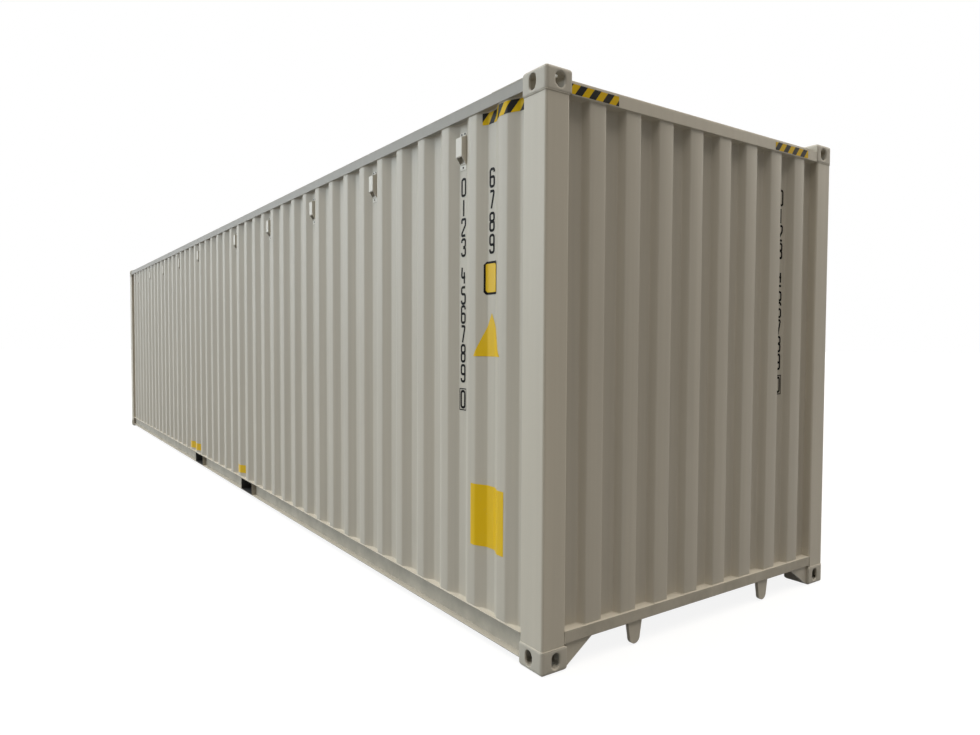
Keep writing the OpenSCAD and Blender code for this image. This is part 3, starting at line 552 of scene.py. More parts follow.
def take(piece):
    """Makes one object the only selected and active one."""
    if bpy.context.mode != "OBJECT":
        bpy.ops.object.mode_set(mode="OBJECT")
    bpy.ops.object.select_all(action="DESELECT")
    piece.select_set(True)
    bpy.context.view_layer.objects.active = piece


def edit(piece):
    """Opens a piece in edit mode."""
    take(piece)
    bpy.ops.object.mode_set(mode="EDIT")


def pick(piece, kind, test):
    """In edit mode, selects only the verts, edges or faces that pass a test; returns how many."""
    bpy.ops.mesh.select_mode(type=kind)
    bpy.ops.mesh.select_all(action="DESELECT")
    shape = bmesh.from_edit_mesh(piece.data)
    parts = {"VERT": shape.verts, "EDGE": shape.edges, "FACE": shape.faces}[kind]
    found = [part for part in parts if test(part)]
    for part in found:
        part.select_set(True)
    shape.select_flush_mode()
    bmesh.update_edit_mesh(piece.data)
    return len(found)


print("selecting helpers:", take.__name__, edit.__name__, pick.__name__)

# %% [markdown]
# A node's mesh is loose triangles. Before a copy of it is shaped, its doubles are merged and flat
# neighbours are dissolved into whole faces. A finished piece is closed up the same way each time.

# %% Helpers for copying and closing up
SMOOTH_BELOW = math.radians(40.0)
FLAT_WITHIN = math.radians(0.2)
MERGE_REACH = 0.00002


def copy_of(source, name):
    """Copies a node or piece into a new object with one merged skin of whole faces."""
    piece = bpy.data.objects.new(name, source.data.copy())
    bpy.context.scene.collection.objects.link(piece)
    edit(piece)
    bpy.ops.mesh.customdata_custom_splitnormals_clear()
    bpy.ops.mesh.select_all(action="SELECT")
    bpy.ops.mesh.remove_doubles(threshold=MERGE_REACH)
    bpy.ops.mesh.dissolve_limited(angle_limit=FLAT_WITHIN)
    return piece


def close_up(piece, material):
    """Finishes a piece: object mode, smooth shading by angle, its material and body."""
    take(piece)
    bpy.ops.object.transform_apply(location=True, rotation=True, scale=True)
    bpy.ops.object.shade_smooth_by_angle(angle=SMOOTH_BELOW)
    dress(piece, material)
    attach(piece, "root")
    return piece


print("edges that turn by less than", round(math.degrees(SMOOTH_BELOW)), "degrees are shaded smooth")

# %% [markdown]
# ## Pressed sheets
# The walls, the roof and the door panels are pressed from thin steel, and a press can't make a
# sharp fold: each bend is an arc a few thicknesses wide. The frame's sheets have sharp bends. A
# copy of each sheet gets its bends bevelled into arcs, and stands in for the node. Only bends are
# picked, by the angle between their faces, so the sheet's thin rim stays as it is.

# %% Round the bends of the walls, roof and door panels
BEND_MIN = math.radians(6.0)
BEND_MAX = math.radians(80.0)
SIDE_BEND = {"reach": 0.008, "arcs": 3}
FRONT_BEND = {"reach": 0.007, "arcs": 4}
ROOF_BEND = {"reach": 0.004, "arcs": 2}
DOOR_BEND = {"reach": 0.012, "arcs": 3}


def is_bend(edge):
    """Tells whether an edge is a bend of a sheet, and not its rim."""
    return edge.is_manifold and BEND_MIN < edge.calc_face_angle() < BEND_MAX


def pressed_sheet(node, reach, arcs):
    """Replaces a pressed sheet by a copy with rounded bends."""
    piece = copy_of(nodes[node], node + "_pressed")
    bends = pick(piece, "EDGE", is_bend)
    bpy.ops.mesh.bevel(offset=reach, segments=arcs, affect="EDGES", clamp_overlap=False)
    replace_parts(close_up(piece, sheet_paint), node)
    print(piece.name, "has", bends, "rounded bends and", len(piece.data.polygons), "faces")
    return piece


right_wall = pressed_sheet("right_side_wall", **SIDE_BEND)
left_wall = pressed_sheet("left_side_wall", **SIDE_BEND)
front_wall = pressed_sheet("front_wall", **FRONT_BEND)
roof = pressed_sheet("roof", **ROOF_BEND)
right_panel = pressed_sheet("right_door_panel", **DOOR_BEND)
left_panel = pressed_sheet("left_door_panel", **DOOR_BEND)

# %% [markdown]
# ## Cast corners
# A corner casting is poured in a sand mould, so none of its edges is sharp, inside or out, and the
# rims of its slots are soft too. Picking each of those edges for a bevel would be long work. A copy
# of each pair is remeshed into small even faces instead, and those are smoothed a few times. Flat
# faces stay where they are, and every edge melts a little, as it does in sand.

# %% Soften the castings' edges
CASTING_VOXEL = 0.0045
CASTING_SMOOTHING = 8
CASTING_SOFTNESS = 0.5


def cast_pair(node):
    """Replaces a pair of castings by a copy with softened edges."""
    piece = copy_of(nodes[node], node + "_cast")
    bpy.ops.object.mode_set(mode="OBJECT")
    piece.data.remesh_voxel_size = CASTING_VOXEL
    bpy.ops.object.voxel_remesh()
    soft = piece.modifiers.new("soft_edges", "SMOOTH")
    soft.factor = CASTING_SOFTNESS
    soft.iterations = CASTING_SMOOTHING
    bpy.ops.object.modifier_apply(modifier=soft.name)
    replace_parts(close_up(piece, casting_paint), node)
    print(piece.name, "has", len(piece.data.polygons), "faces")


for node in (
    "front_bottom_castings", "rear_bottom_castings", "front_top_castings", "rear_top_castings"
):
    cast_pair(node)

# %% [markdown]
# ## Welds
# Every sheet is welded all round to the rails, posts or door frame that hold it, and the paint
# covers the bead. A straight rod wouldn't do, because the bead has to follow the corrugation. So
# it is taken from the sheet itself: its outer skin is copied, only the rim is kept, and that rim
# becomes a curve with a round section.

# %% Helpers for beads
BEAD_ARCS = 1
BEAD_MERGE = 0.00005
FACING = 0.25


def keep_skin(piece, outward):
    """In edit mode, deletes every face that doesn't look outward."""
    pick(piece, "FACE", lambda f: f.normal.dot(outward) < FACING)
    bpy.ops.mesh.delete(type="FACE")


def round_line(piece, radius, capped=False):
    """Turns a piece made of edges into a round rod, and leaves it open in edit mode."""
    bpy.ops.object.mode_set(mode="OBJECT")
    bpy.ops.object.convert(target="CURVE")
    line = bpy.context.object
    line.data.bevel_depth = radius
    line.data.bevel_resolution = BEAD_ARCS
    line.data.use_fill_caps = capped
    bpy.ops.object.convert(target="MESH")
    line = bpy.context.object
    edit(line)
    bpy.ops.mesh.select_all(action="SELECT")
    bpy.ops.mesh.remove_doubles(threshold=BEAD_MERGE)
    return line


def as_bead(piece, radius, name):
    """Turns a piece made of edges into a round painted bead."""
    bead = round_line(piece, radius)
    bead.name = name
    bead.data.name = name
    bpy.ops.mesh.normals_make_consistent(inside=False)
    return close_up(bead, satin_paint)


print("bead helpers:", keep_skin.__name__, round_line.__name__, as_bead.__name__)

# %% [markdown]
# The walls and door panels have a bead of one size. The roof's bead is ground nearly flush with
# the rails, so it is thinner.

# %% Weld beads round the sheets
WELD_RADIUS = 0.0035
ROOF_WELD_RADIUS = 0.0015
OUT_RIGHT = Vector((0.0, -1.0, 0.0))
OUT_LEFT = Vector((0.0, 1.0, 0.0))
OUT_FRONT = Vector((1.0, 0.0, 0.0))
OUT_REAR = Vector((-1.0, 0.0, 0.0))
OUT_TOP = Vector((0.0, 0.0, 1.0))


def rim_weld(sheet, outward, name, radius=WELD_RADIUS):
    """Lays a bead along the rim of a sheet's outer skin."""
    piece = copy_of(sheet, name)
    keep_skin(piece, outward)
    pick(piece, "EDGE", lambda e: not e.is_boundary)
    bpy.ops.mesh.delete(type="EDGE_FACE")
    bead = as_bead(piece, radius, name)
    print(name, "has", len(bead.data.polygons), "faces")


rim_weld(right_wall, OUT_RIGHT, "right_wall_weld")
rim_weld(left_wall, OUT_LEFT, "left_wall_weld")
rim_weld(front_wall, OUT_FRONT, "front_wall_weld")
rim_weld(roof, OUT_TOP, "roof_weld", ROOF_WELD_RADIUS)
rim_weld(right_panel, OUT_REAR, "right_panel_weld")
rim_weld(left_panel, OUT_REAR, "left_panel_weld")

# %% [markdown]
# The posts are welded to the castings at their foot and head, and the lower front rail to the
# posts. There the bead follows the end of the post's or rail's own section. The rail's bead lies
# a little beyond its end, in the groove that the post's rounded bend leaves.

# %% Weld beads at the ends of posts and rails
NEAR = 0.0005
ALONG_Y, ALONG_Z = 1, 2
RAIL_WELD_REACH = 0.003


def lies_at(edge, axis, end):
    """Tells whether an edge lies in the plane of an end."""
    return all(abs(v.co[axis] - end) < NEAR for v in edge.verts)


def end_weld(node, axis, reach=0.0):
    """Lays a bead round both ends of a node, moved out along its axis."""
    low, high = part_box(node)
    ends = low[axis], high[axis]
    piece = copy_of(nodes[node], node + "_weld")
    pick(piece, "EDGE", lambda e: not any(lies_at(e, axis, end) for end in ends))
    bpy.ops.mesh.delete(type="EDGE_FACE")
    pick(piece, "EDGE", lambda e: True)
    bpy.ops.mesh.delete(type="ONLY_FACE")
    for end, way in zip(ends, (-1.0, 1.0)):
        pick(piece, "VERT", lambda v: abs(v.co[axis] - end) < NEAR)
        bpy.ops.transform.translate(value=[way * reach if i == axis else 0.0 for i in range(3)])
    as_bead(piece, WELD_RADIUS, node + "_weld")
    print(node, "is welded at", [round(end, 3) for end in ends])


for node in ("right_front_post", "left_front_post", "right_rear_post", "left_rear_post"):
    end_weld(node, ALONG_Z)
end_weld("front_bottom_rail", ALONG_Y, RAIL_WELD_REACH)

# %% [markdown]
# ## Vinyl
# The tape, the numbers and the label places are vinyl film, pressed onto the painted steel. Black
# and yellow are the common warning stripe for a tall container. On the front and the right side
# the stripes lean to the right, and their pitch is measured along the tape, so the group takes
# the place along the tape and the height as two values. The labels carry nothing: each is a
# plain yellow patch, and the upper one has a thin black rim.

# %% Node group: warning stripes
STRIPE_PITCH = 0.0905
STRIPE_LEAN = math.tan(math.radians(38.0))
VINYL_YELLOW = (0.77, 0.49, 0.002, 1.0)
VINYL_BLACK = (0.006, 0.0055, 0.005, 1.0)

stripe_group, stripe_in, stripe_out = new_group(
    "warning_stripes",
    {
        "Along": ("Float", 0.0),
        "Up": ("Float", 0.0),
        "Start": ("Float", 0.0),
        "Lean": ("Float", STRIPE_LEAN),
        "Pitch": ("Float", STRIPE_PITCH),
    },
    {"Color": "Color"},
)
t = stripe_group
lean = math_node(t, "MULTIPLY", stripe_in["Up"], stripe_in["Lean"])
start = math_node(t, "ADD", lean, stripe_in["Start"])
phase = math_node(t, "SUBTRACT", stripe_in["Along"], start)
phase = math_node(t, "DIVIDE", phase, stripe_in["Pitch"])
dark = math_node(t, "GREATER_THAN", math_node(t, "FRACT", phase), 0.5)
t.links.new(mix_colour(t, dark, VINYL_YELLOW, VINYL_BLACK), stripe_out["Color"])
print("group", stripe_group.name, "has", len(stripe_group.nodes), "nodes")

# %% [markdown]
# Film fades unevenly in the sun and takes on a little grime. Both are slight here, and one group
# gives them to every film.

# %% Node group: vinyl film
VINYL_FADED = (0.75, 0.66, 0.40, 1.0)
FADE_MOST = 0.05
GRIME_MOST = 0.12

film_group, film_in, film_out = new_group(
    "vinyl_film",
    {"Film": ("Color", VINYL_YELLOW)},
    {"Color": "Color", "Roughness": "Float", "Height": "Float"},
)
t = film_group
place = add(t, "TexCoord").outputs["Object"]
fade = add(t, "TexNoise", "fading", Vector=place, Scale=6.0, Detail=4.0).outputs["Fac"]
grime = add(t, "TexNoise", "grime", Vector=place, Scale=45.0, Detail=5.0).outputs["Fac"]
faded = mix_colour(t, ramp(t, fade, 0.5, 0.9, 0.0, FADE_MOST), film_in["Film"], VINYL_FADED)
grimy = mix_colour(t, ramp(t, grime, 0.60, 0.85, 0.0, GRIME_MOST), faded, DUST_AND_SHADE)
t.links.new(grimy, film_out["Color"])
t.links.new(ramp(t, fade, 0.3, 0.7, 0.32, 0.46), film_out["Roughness"])
t.links.new(grime, film_out["Height"])
print("group", film_group.name, "has", len(film_group.nodes), "nodes")

# %% [markdown]
# A film's colour is plain or comes from the stripes, and either way it goes through the film
# group. The tape and the figures are duller than the yellow patches, so they reflect less.

# %% Materials: vinyl
SIDE_TAPE_START = 0.036
TAPE_SHINE = 0.08
FIGURE_SHINE = 0.04


def film_material(name, colour, axis=None, start=0.0, specular=0.2):
    """Makes a vinyl finish of one colour, or striped along an axis from a start."""
    material, tree, shader = new_material(name)
    if axis:
        spot = add(tree, "SeparateXYZ", Vector=add(tree, "TexCoord").outputs["Object"]).outputs
        stripes = place_group(tree, stripe_group, Along=spot[axis], Up=spot["Z"], Start=start)
        colour = stripes["Color"]
    film = place_group(tree, film_group, Film=colour)
    bump = add(tree, "Bump", Strength=0.08, Distance=0.0005, Height=film["Height"])
    set_sockets(
        tree, shader, Base_Color=film["Color"], Roughness=film["Roughness"],
        Normal=bump.outputs[0], Specular_IOR_Level=specular,
    )
    return material


tape_along_side = film_material("tape_along_side", None, "X", SIDE_TAPE_START, TAPE_SHINE)
tape_along_front = film_material("tape_along_front", None, "Y", specular=TAPE_SHINE)
yellow_film = film_material("yellow_film", VINYL_YELLOW)
black_film = film_material("black_film", VINYL_BLACK, specular=FIGURE_SHINE)
print("vinyl:", tape_along_side.name, tape_along_front.name, yellow_film.name, black_film.name)

# %% [markdown]
# A flat plate would stand off the corrugation, but film follows whatever it is pressed onto. So a
# patch is cut from the skin of its own sheet: a copy of the sheet is bisected at the patch's
# edges, only the faces that look outward are kept, and those are lifted a hair and given the
# film's thickness.

# %% Helpers for patches of film
FILM_LIFT = 0.0004
FILM_THICK = 0.0006
FRONT_X = cad_high.x


def back(distance):
    """Turns a distance back from the front end into x."""
    return FRONT_X - distance


def rectangle(start, stop, low, high, corner=0.0):
    """Returns the outline of a patch as places along the sheet and heights, its corners cut off."""
    points = []
    for place, height, turn in ((start, low, 1), (stop, low, -1), (stop, high, 1), (start, high, -1)):
        aside = corner if place == start else -corner
        rise = corner if height == low else -corner
        pair = [(place, height + rise), (place + aside, height)]
        points += pair[::turn]
    return points if corner else points[::2]


def skin_patch(name, source, outward, along, outline, material, layer=0):
    """Cuts a patch of film from a sheet's skin, inside an outline that runs anticlockwise."""
    piece = copy_of(source, name)
    spots = [Vector((a, 0.0, z)) if along == "X" else Vector((0.0, a, z)) for a, z in outline]
    side = OUT_RIGHT if along == "X" else OUT_FRONT
    for spot, after in zip(spots, spots[1:] + spots[:1]):
        bpy.ops.mesh.select_all(action="SELECT")
        bpy.ops.mesh.bisect(plane_co=spot, plane_no=side.cross(after - spot), clear_inner=True)
    keep_skin(piece, outward)
    bpy.ops.mesh.select_all(action="SELECT")
    bpy.ops.transform.translate(value=outward * (FILM_LIFT + layer * FILM_THICK))
    bpy.ops.object.mode_set(mode="OBJECT")
    film = piece.modifiers.new("film", "SOLIDIFY")
    film.thickness = FILM_THICK
    film.offset = 1.0
    bpy.ops.object.modifier_apply(modifier=film.name)
    return close_up(piece, material)


print("film lies", FILM_LIFT, "m off the paint and is", FILM_THICK, "m thick")

# %% [markdown]
# Both sides carry the same tape and patches, with their places measured back from the front end.
# The front's top rail has two lengths of tape, one near each end.

# %% Tape and label patches
SIDES = {"right": (right_wall, OUT_RIGHT), "left": (left_wall, OUT_LEFT)}
WALL_TAPE = rectangle(back(0.556), back(0.1785), 2.744, 2.805)
TRIANGLE = [(back(0.608), 1.525), (back(0.370), 1.525), (back(0.487), 1.754)]
PATCHES = {
    "upper_rim": (rectangle(back(0.547), back(0.436), 1.852, 2.027, 0.014), black_film, 0),
    "upper_patch": (rectangle(back(0.535), back(0.449), 1.864, 2.015, 0.010), yellow_film, 1),
    "middle_patch": (TRIANGLE, yellow_film, 0),
    "low_patch": (rectangle(back(0.629), back(0.328), 0.500, 0.835, 0.004), yellow_film, 0),
    "front_pocket_patch": (rectangle(back(5.205), back(4.965), 0.203, 0.286, 0.004), yellow_film, 0),
    "rear_pocket_patch": (rectangle(back(7.390), back(6.907), 0.190, 0.278, 0.004), yellow_film, 0),
}
for side, (wall, outward) in SIDES.items():
    skin_patch(side + "_wall_tape", wall, outward, "X", WALL_TAPE, tape_along_side)
    for name, (outline, material, layer) in PATCHES.items():
        skin_patch(f"{side}_{name}", wall, outward, "X", outline, material, layer)

rail_low, rail_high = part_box("front_top_rail")
TAPE_MARGIN = 0.006
FRONT_TAPES = {"front_near_tape": (0.1625, 0.476), "front_far_tape": (1.820, 2.172)}
for name, (start, stop) in FRONT_TAPES.items():
    outline = rectangle(
        cad_low.y + start, cad_low.y + stop, rail_low.z + TAPE_MARGIN, rail_high.z - TAPE_MARGIN
    )
    skin_patch(name, nodes["front_top_rail"], OUT_FRONT, "Y", outline, tape_along_front)
print("vinyl patches on", len(SIDES), "sides and the front rail")

# %% [markdown]
# ## Numbers
# Upright columns of plain numbers stand in the recesses. A narrow figure is drawn the way a stencil
# cutter draws it: as a path through points on a small grid, two steps wide and four high. The path's
# corners are rounded, the path becomes a curve with the stroke's width, and the result is pressed
# flat. The figures run in order from nought to nine, and name nothing.

# %% The figures' paths
GRID = (2.0, 4.0)
PATHS = {
    "0": [[(0, 0), (2, 0), (2, 4), (0, 4), (0, 0)]],
    "1": [[(1, 0), (1, 4)]],
    "2": [[(0, 3), (0, 4), (2, 4), (2, 2.5), (0, 0.5), (0, 0), (2, 0)]],
    "3": [
        [(0, 3.2), (0, 4), (2, 4), (2, 2.1), (0.8, 2.1)],
        [(0.8, 1.9), (2, 1.9), (2, 0), (0, 0), (0, 0.8)],
    ],
    "4": [[(0.3, 4), (0, 1.5), (2, 1.5)], [(1.5, 2.8), (1.5, 0)]],
    "5": [[(2, 4), (0, 4), (0, 2.3), (2, 2.3), (2, 0), (0, 0), (0, 0.8)]],
    "6": [[(2, 3.2), (2, 4), (0, 4), (0, 0), (2, 0), (2, 2.2), (0, 2.2)]],
    "7": [[(0, 4), (2, 4), (0.6, 0)]],
    "8": [
        [(0, 2.2), (2, 2.2), (2, 4), (0, 4), (0, 2.2)],
        [(0, 0), (2, 0), (2, 2.0), (0, 2.0), (0, 0)],
    ],
    "9": [[(0, 0.8), (0, 0), (2, 0), (2, 4), (0, 4), (0, 1.8), (2, 1.8)]],
}
print("figures:", "".join(PATHS))

# %% [markdown]
# A stroke starts as bare points and edges. Bevelling its points rounds the turns, and the same
# helper that made the weld beads turns it into a rod, which is then pressed flat.

# %% One stroke of a figure
FIGURE_H = 0.105
FIGURE_W = 0.050
STROKE = 0.0145
FIGURE_THICK = 0.0005
FIGURE_TURN = 0.012
TURN_ARCS = 4


def stroke(path):
    """Models one stroke of a figure, facing +Z, with its top at nought."""
    step_x, step_y = (FIGURE_W - STROKE) / GRID[0], (FIGURE_H - STROKE) / GRID[1]
    closed = path[0] == path[-1]
    points = path[:-1] if closed else path
    spots = [
        ((x - GRID[0] / 2) * step_x, (y - GRID[1]) * step_y - STROKE / 2, 0.0) for x, y in points
    ]
    sides = [(i, i + 1) for i in range(len(spots) - 1)] + ([(len(spots) - 1, 0)] if closed else [])
    shape = bpy.data.meshes.new("stroke")
    shape.from_pydata(spots, sides, [])
    piece = bpy.data.objects.new("stroke", shape)
    bpy.context.scene.collection.objects.link(piece)
    edit(piece)
    pick(piece, "VERT", lambda v: len(v.link_edges) == 2)
    bpy.ops.mesh.bevel(
        offset=FIGURE_TURN, offset_type="OFFSET", segments=TURN_ARCS, affect="VERTICES",
        clamp_overlap=True,
    )
    line = round_line(piece, STROKE / 2, capped=True)
    bpy.ops.transform.resize(
        value=(1.0, 1.0, FIGURE_THICK / STROKE), center_override=(0.0, 0.0, 0.0)
    )
    bpy.ops.mesh.normals_make_consistent(inside=False)
    bpy.ops.object.mode_set(mode="OBJECT")
    return line


print("a figure is", FIGURE_W, "by", FIGURE_H, "m with a stroke of", STROKE, "m")

# %% [markdown]
# The last figure of a long column stands in a thin frame. That is a plane with its face inset and
# taken out, and the rim that is left is extruded to the figures' thickness.

# %% The frame round the last figure
BOX_H = 0.124
BOX_W = 0.070
BOX_LINE = 0.006


def outline_box():
    """Models the thin frame round the last figure: a plane, inset, with its middle taken out."""
    bpy.ops.mesh.primitive_plane_add(size=1.0)
    line = bpy.context.object
    line.scale = (BOX_W, BOX_H, 1.0)
    bpy.ops.object.transform_apply(scale=True)
    edit(line)
    bpy.ops.mesh.select_all(action="SELECT")
    bpy.ops.mesh.inset(thickness=BOX_LINE)
    bpy.ops.mesh.delete(type="FACE")
    bpy.ops.mesh.select_all(action="SELECT")
    bpy.ops.mesh.extrude_region_move(TRANSFORM_OT_translate={"value": (0.0, 0.0, FIGURE_THICK)})
    bpy.ops.mesh.select_all(action="SELECT")
    bpy.ops.mesh.normals_make_consistent(inside=False)
    bpy.ops.object.mode_set(mode="OBJECT")
    return line


print("the frame is", BOX_W, "by", BOX_H, "m")

# %% [markdown]
# A column's strokes are turned to face outward, moved to their heights and joined into one piece.

# %% Helpers for columns


def join_all(pieces):
    """Joins pieces into the first of them and returns it."""
    bpy.ops.object.select_all(action="DESELECT")
    for piece in pieces:
        piece.select_set(True)
    bpy.context.view_layer.objects.active = pieces[0]
    bpy.ops.object.transform_apply(location=True, rotation=True, scale=True)
    bpy.ops.object.join()
    return bpy.context.object


def column(name, figures, tops, turn, spot, boxed=False):
    """Sets a column of figures on a face: spot is its place, turn its facing."""
    placed = [(stroke(path), top) for text, top in zip(figures, tops) for path in PATHS[text]]
    if boxed:
        placed.append((outline_box(), tops[-1] - FIGURE_H / 2))
    for line, height in placed:
        line.rotation_euler = turn
        line.location = (spot.x, spot.y, height)
    piece = join_all([line for line, height in placed])
    piece.name = name
    piece.data.name = name
    print(name, "has", len(figures), "figures")
    return close_up(piece, black_film)


print("column helpers:", join_all.__name__, column.__name__)

# %% [markdown]
# The figures stand on the recessed flats of the walls, a hair in front of the paint: a short and a
# long column on each side, and a long one on the front.

# %% Columns of figures
RECESS_FACE = 1.174
FRONT_RECESS_X = 6.0384
FIGURE_GAP = 0.0006
SHORT_TOPS = (2.515, 2.400, 2.285, 2.170)
LONG_TOPS = (2.511, 2.397, 2.290, 2.179, 2.024, 1.913, 1.807, 1.696, 1.590, 1.478, 1.332)
FRONT_RISE = 0.059
SHORT_COLUMN_X = back(0.490)
LONG_COLUMN_X = back(0.764)
FRONT_COLUMN_Y = 0.750
TURN_RIGHT = (math.pi / 2, 0.0, 0.0)
TURN_LEFT = (math.pi / 2, 0.0, math.pi)
TURN_FRONT = (math.pi / 2, 0.0, math.pi / 2)

for side, sign, turn in (("right", -1, TURN_RIGHT), ("left", 1, TURN_LEFT)):
    face = sign * (RECESS_FACE + FIGURE_GAP)
    short_spot = Vector((SHORT_COLUMN_X, face, 0.0))
    long_spot = Vector((LONG_COLUMN_X, face, 0.0))
    column(f"{side}_short_figures", "6789", SHORT_TOPS, turn, short_spot)
    column(f"{side}_long_figures", "01234567890", LONG_TOPS, turn, long_spot, True)
front_spot = Vector((FRONT_RECESS_X + FIGURE_GAP, FRONT_COLUMN_Y, 0.0))
front_tops = [top + FRONT_RISE for top in LONG_TOPS]
column("front_long_figures", "01234567890", front_tops, TURN_FRONT, front_spot, True)

# %% [markdown]
# ## Rivets and bolts
# Each vent is held by two rivets above and one below, and the door gear by round-headed bolts. One
# head is modelled from a sphere: its lower half is cut off, it is flattened, and it stands on a
# thin collar. Its copies are set in place and joined into one piece.

# %% One round head
HEAD_SIDES = 10
HEAD_RINGS = 6
HEAD_FLAT = 0.55
COLLAR_GROW = 1.35
COLLAR_H = 0.18


def round_head(radius):
    """Models one head on a collar, facing +Z, with its seat at nought."""
    collar = radius * COLLAR_H
    bpy.ops.object.select_all(action="DESELECT")
    bpy.ops.mesh.primitive_uv_sphere_add(segments=HEAD_SIDES, ring_count=HEAD_RINGS, radius=radius)
    head = bpy.context.object
    edit(head)
    bpy.ops.mesh.select_all(action="SELECT")
    bpy.ops.mesh.bisect(plane_co=(0, 0, 0), plane_no=(0, 0, 1), clear_inner=True)
    bpy.ops.mesh.select_all(action="SELECT")
    bpy.ops.transform.resize(value=(1.0, 1.0, HEAD_FLAT))
    bpy.ops.transform.translate(value=(0.0, 0.0, collar))
    pick(head, "EDGE", lambda e: e.is_boundary)
    bpy.ops.mesh.extrude_edges_move()
    bpy.ops.transform.resize(value=(COLLAR_GROW, COLLAR_GROW, 1.0))
    bpy.ops.mesh.extrude_edges_move(TRANSFORM_OT_translate={"value": (0.0, 0.0, -collar)})
    bpy.ops.mesh.edge_face_add()
    bpy.ops.mesh.select_all(action="SELECT")
    bpy.ops.mesh.normals_make_consistent(inside=False)
    bpy.ops.object.mode_set(mode="OBJECT")
    return head


print("a head has", HEAD_SIDES, "sides")

# %% [markdown]
# Each copy of a head has its own mesh, moved to its spot and turned to face outward.

# %% Helper for rows of heads


def set_heads(name, radius, outward, spots, material, slot):
    """Copies a head to every spot on a face and joins the copies."""
    head = round_head(radius)
    turn = outward.to_track_quat("Z", "Y").to_matrix().to_4x4()
    made = []
    for spot in spots:
        copy = bpy.data.objects.new(name, head.data.copy())
        bpy.context.scene.collection.objects.link(copy)
        copy.data.transform(Matrix.Translation(spot) @ turn)
        made.append(copy)
    bpy.data.objects.remove(head)
    print(name, "has", len(spots), "heads")
    return close_up(join_all(made), material)


print("heads helper:", set_heads.__name__)

# %% [markdown]
# The vents stand in the recesses of the wall, four recesses apart, with a wider step at the
# middle of the wall.

# %% Rivets on the vents
RECESS_START = 0.488
RECESS_PITCH = 0.278
VENT_RECESSES = (1, 5, 9, 13, 17, 23, 27, 31, 35, 39)
VENT_SHEET = 0.002
RIVET_R = 0.0045
RIVET_SPREAD = 0.016
TOP_RIVET_DROP = 0.010
LOW_RIVET_RISE = 0.0135

vent_low, vent_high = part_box("right_vents")
top_rivet_z = vent_high.z - TOP_RIVET_DROP
low_rivet_z = vent_low.z + LOW_RIVET_RISE
for side, sign in (("right", -1), ("left", 1)):
    seat = sign * (RECESS_FACE + VENT_SHEET)
    spots = []
    for recess in VENT_RECESSES:
        middle = back(RECESS_START + recess * RECESS_PITCH)
        spots.append(Vector((middle - RIVET_SPREAD, seat, top_rivet_z)))
        spots.append(Vector((middle + RIVET_SPREAD, seat, top_rivet_z)))
        spots.append(Vector((middle, seat, low_rivet_z)))
    set_heads(f"{side}_vent_rivets", RIVET_R, SIDES[side][1], spots, rivet_steel_shaded, "galvanised")

# %% [markdown]
# Each bracket of a lock rod has two bolts, one on either side of the rod. Each hinge has four.

# %% Bolts on the door gear
DOOR_FACE_X = -6.0548
ROD_YS = (0.8486, 0.3443)
BRACKET_ZS = (0.253, 0.7856, 2.1584, 2.691)
BRACKET_SPREAD = 0.0297
HINGE_ZS = (0.5015, 1.1485, 1.7955, 2.4425)
HINGE_YS = (1.108, 1.073)
HINGE_SPREAD = 0.034
BOLT_R = 0.0055
HINGE_BOLT_R = 0.0075

bracket_spots = [
    Vector((DOOR_FACE_X, side * y + way * BRACKET_SPREAD, z))
    for side in (-1, 1) for y in ROD_YS for way in (-1, 1) for z in BRACKET_ZS
]
hinge_spots = [
    Vector((DOOR_FACE_X, side * y, z + way * HINGE_SPREAD))
    for side in (-1, 1) for y in HINGE_YS for way in (-1, 1) for z in HINGE_ZS
]
set_heads("bracket_bolts", BOLT_R, OUT_REAR, bracket_spots, galvanised, "galvanised")
set_heads("hinge_bolts", HINGE_BOLT_R, OUT_REAR, hinge_spots, galvanised, "galvanised")

# %% [markdown]
# ## Studio
# The container stands on a plain floor under a soft sky. The background and the floor are white
# only to the camera, to reflections and through glass, so that white adds no light to the paint.
# Seen from below, the floor lets the view through, so the underside can be looked at too.

# %% Floor
FLOOR_SPAN = 240.0
FLOOR_CELLS = 8
FLOOR_DROP = 0.001
FLOOR_COLOUR = (0.12, 0.117, 0.110, 1.0)
FLOOR_ROUGH = 0.9
FLOOR_GLOW = 0.88
WHITE = (1.0, 1.0, 1.0, 1.0)


def looked_at(tree):
    """Returns one for rays that look at the studio, and nought for rays that gather its light."""
    path = add(tree, "LightPath").outputs
    seen = math_node(tree, "MAXIMUM", path["Is Camera Ray"], path["Is Glossy Ray"])
    return math_node(tree, "MAXIMUM", seen, path["Is Transmission Ray"])


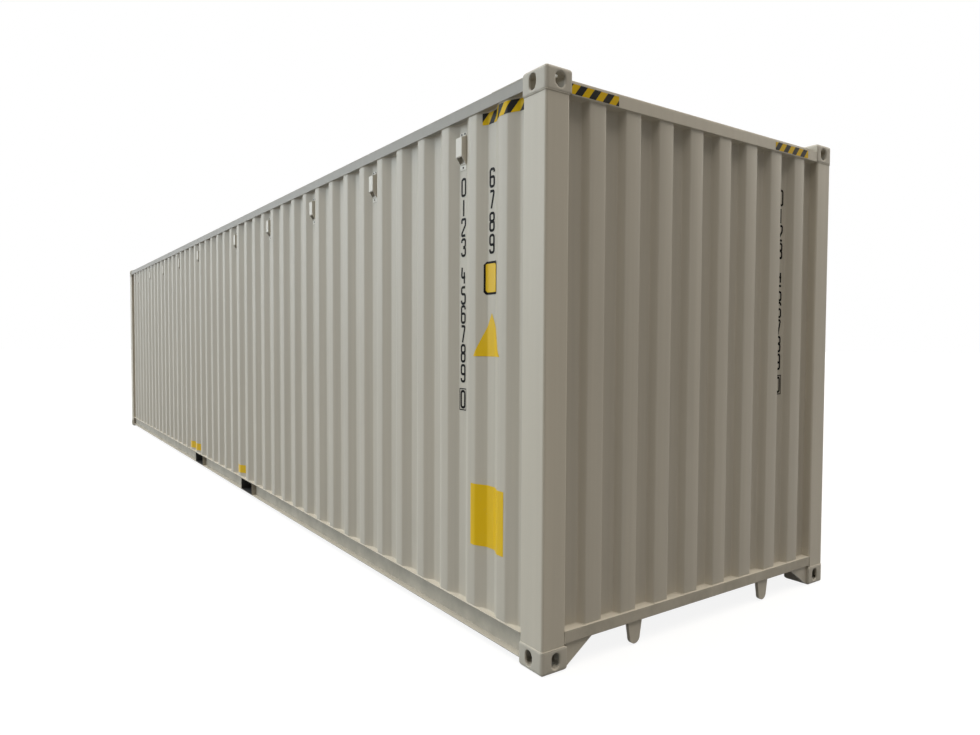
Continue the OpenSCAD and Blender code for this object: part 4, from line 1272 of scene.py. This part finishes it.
bpy.ops.mesh.primitive_grid_add(
    x_subdivisions=FLOOR_CELLS, y_subdivisions=FLOOR_CELLS, size=FLOOR_SPAN,
    location=(0.0, 0.0, -FLOOR_DROP),
)
floor = bpy.context.object
floor.name = "studio_floor"
floor_material, t, shader = new_material("studio_floor")
set_sockets(
    t, shader, Base_Color=FLOOR_COLOUR, Roughness=FLOOR_ROUGH, Emission_Color=WHITE,
    Emission_Strength=math_node(t, "MULTIPLY", looked_at(t), FLOOR_GLOW),
)
from_below = add(t, "NewGeometry").outputs["Backfacing"]
open_floor = add(t, "BsdfTransparent")
one_way = add(t, "MixShader", _0=from_below, _1=shader.outputs[0], _2=open_floor.outputs[0])
t.links.new(one_way.outputs[0], t.nodes["Material Output"].inputs["Surface"])
dress(floor, floor_material)
print("floor:", FLOOR_SPAN, "m wide")

# %% [markdown]
# The sky is white to look at, but the light that it sends is dim and warm.

# %% Sky
SKY_LEVEL = 0.125
SKY_COLOUR = (1.0, 0.91, 0.76, 1.0)

world = bpy.data.worlds.new("studio")
bpy.context.scene.world = world
world.use_nodes = True
t = world.node_tree
bright = looked_at(t)
set_sockets(
    t, t.nodes["Background"], Color=mix_colour(t, bright, SKY_COLOUR, WHITE),
    Strength=ramp(t, bright, 0.0, 1.0, SKY_LEVEL, 1.0),
)
print("sky:", world.name, "with a level of", SKY_LEVEL)

# %% [markdown]
# The key light comes from the right side and from behind, so the long wall is bright and the front
# end is in shade. A wide light from above brightens every ledge and leaves what lies under the
# rails dark. A low light from the left draws a thin line on the front wall's bends.

# %% Lights
LAMP_DISTANCE = 12.0
LAMPS = {
    "key_light": {
        "towards": (-0.95, -1.0, 0.58), "strength": 2.05, "spread": 60.0, "colour": (0.84, 0.94, 1.0),
    },
    "top_light": {
        "towards": (0.12, -0.10, 1.0), "strength": 2.8, "spread": 60.0, "colour": (1.0, 0.96, 0.90),
    },
    "fill_light": {
        "towards": (0.25, 1.0, 0.50), "strength": 0.75, "spread": 30.0, "colour": (1.0, 0.94, 0.82),
    },
}


def sun(name, towards, strength, spread, colour):
    """Adds a soft sun that shines from the given direction, its spread in degrees."""
    way = Vector(towards)
    turn = way.to_track_quat("Z", "Y").to_euler()
    bpy.ops.object.light_add(type="SUN", location=way * LAMP_DISTANCE, rotation=turn)
    lamp = bpy.context.object
    lamp.name = name
    lamp.data.energy = strength
    lamp.data.angle = math.radians(spread)
    lamp.data.color = colour
    print(name, "has strength", strength)


for name, lamp in LAMPS.items():
    sun(name, **lamp)
bpy.context.scene.view_settings.view_transform = "Standard"
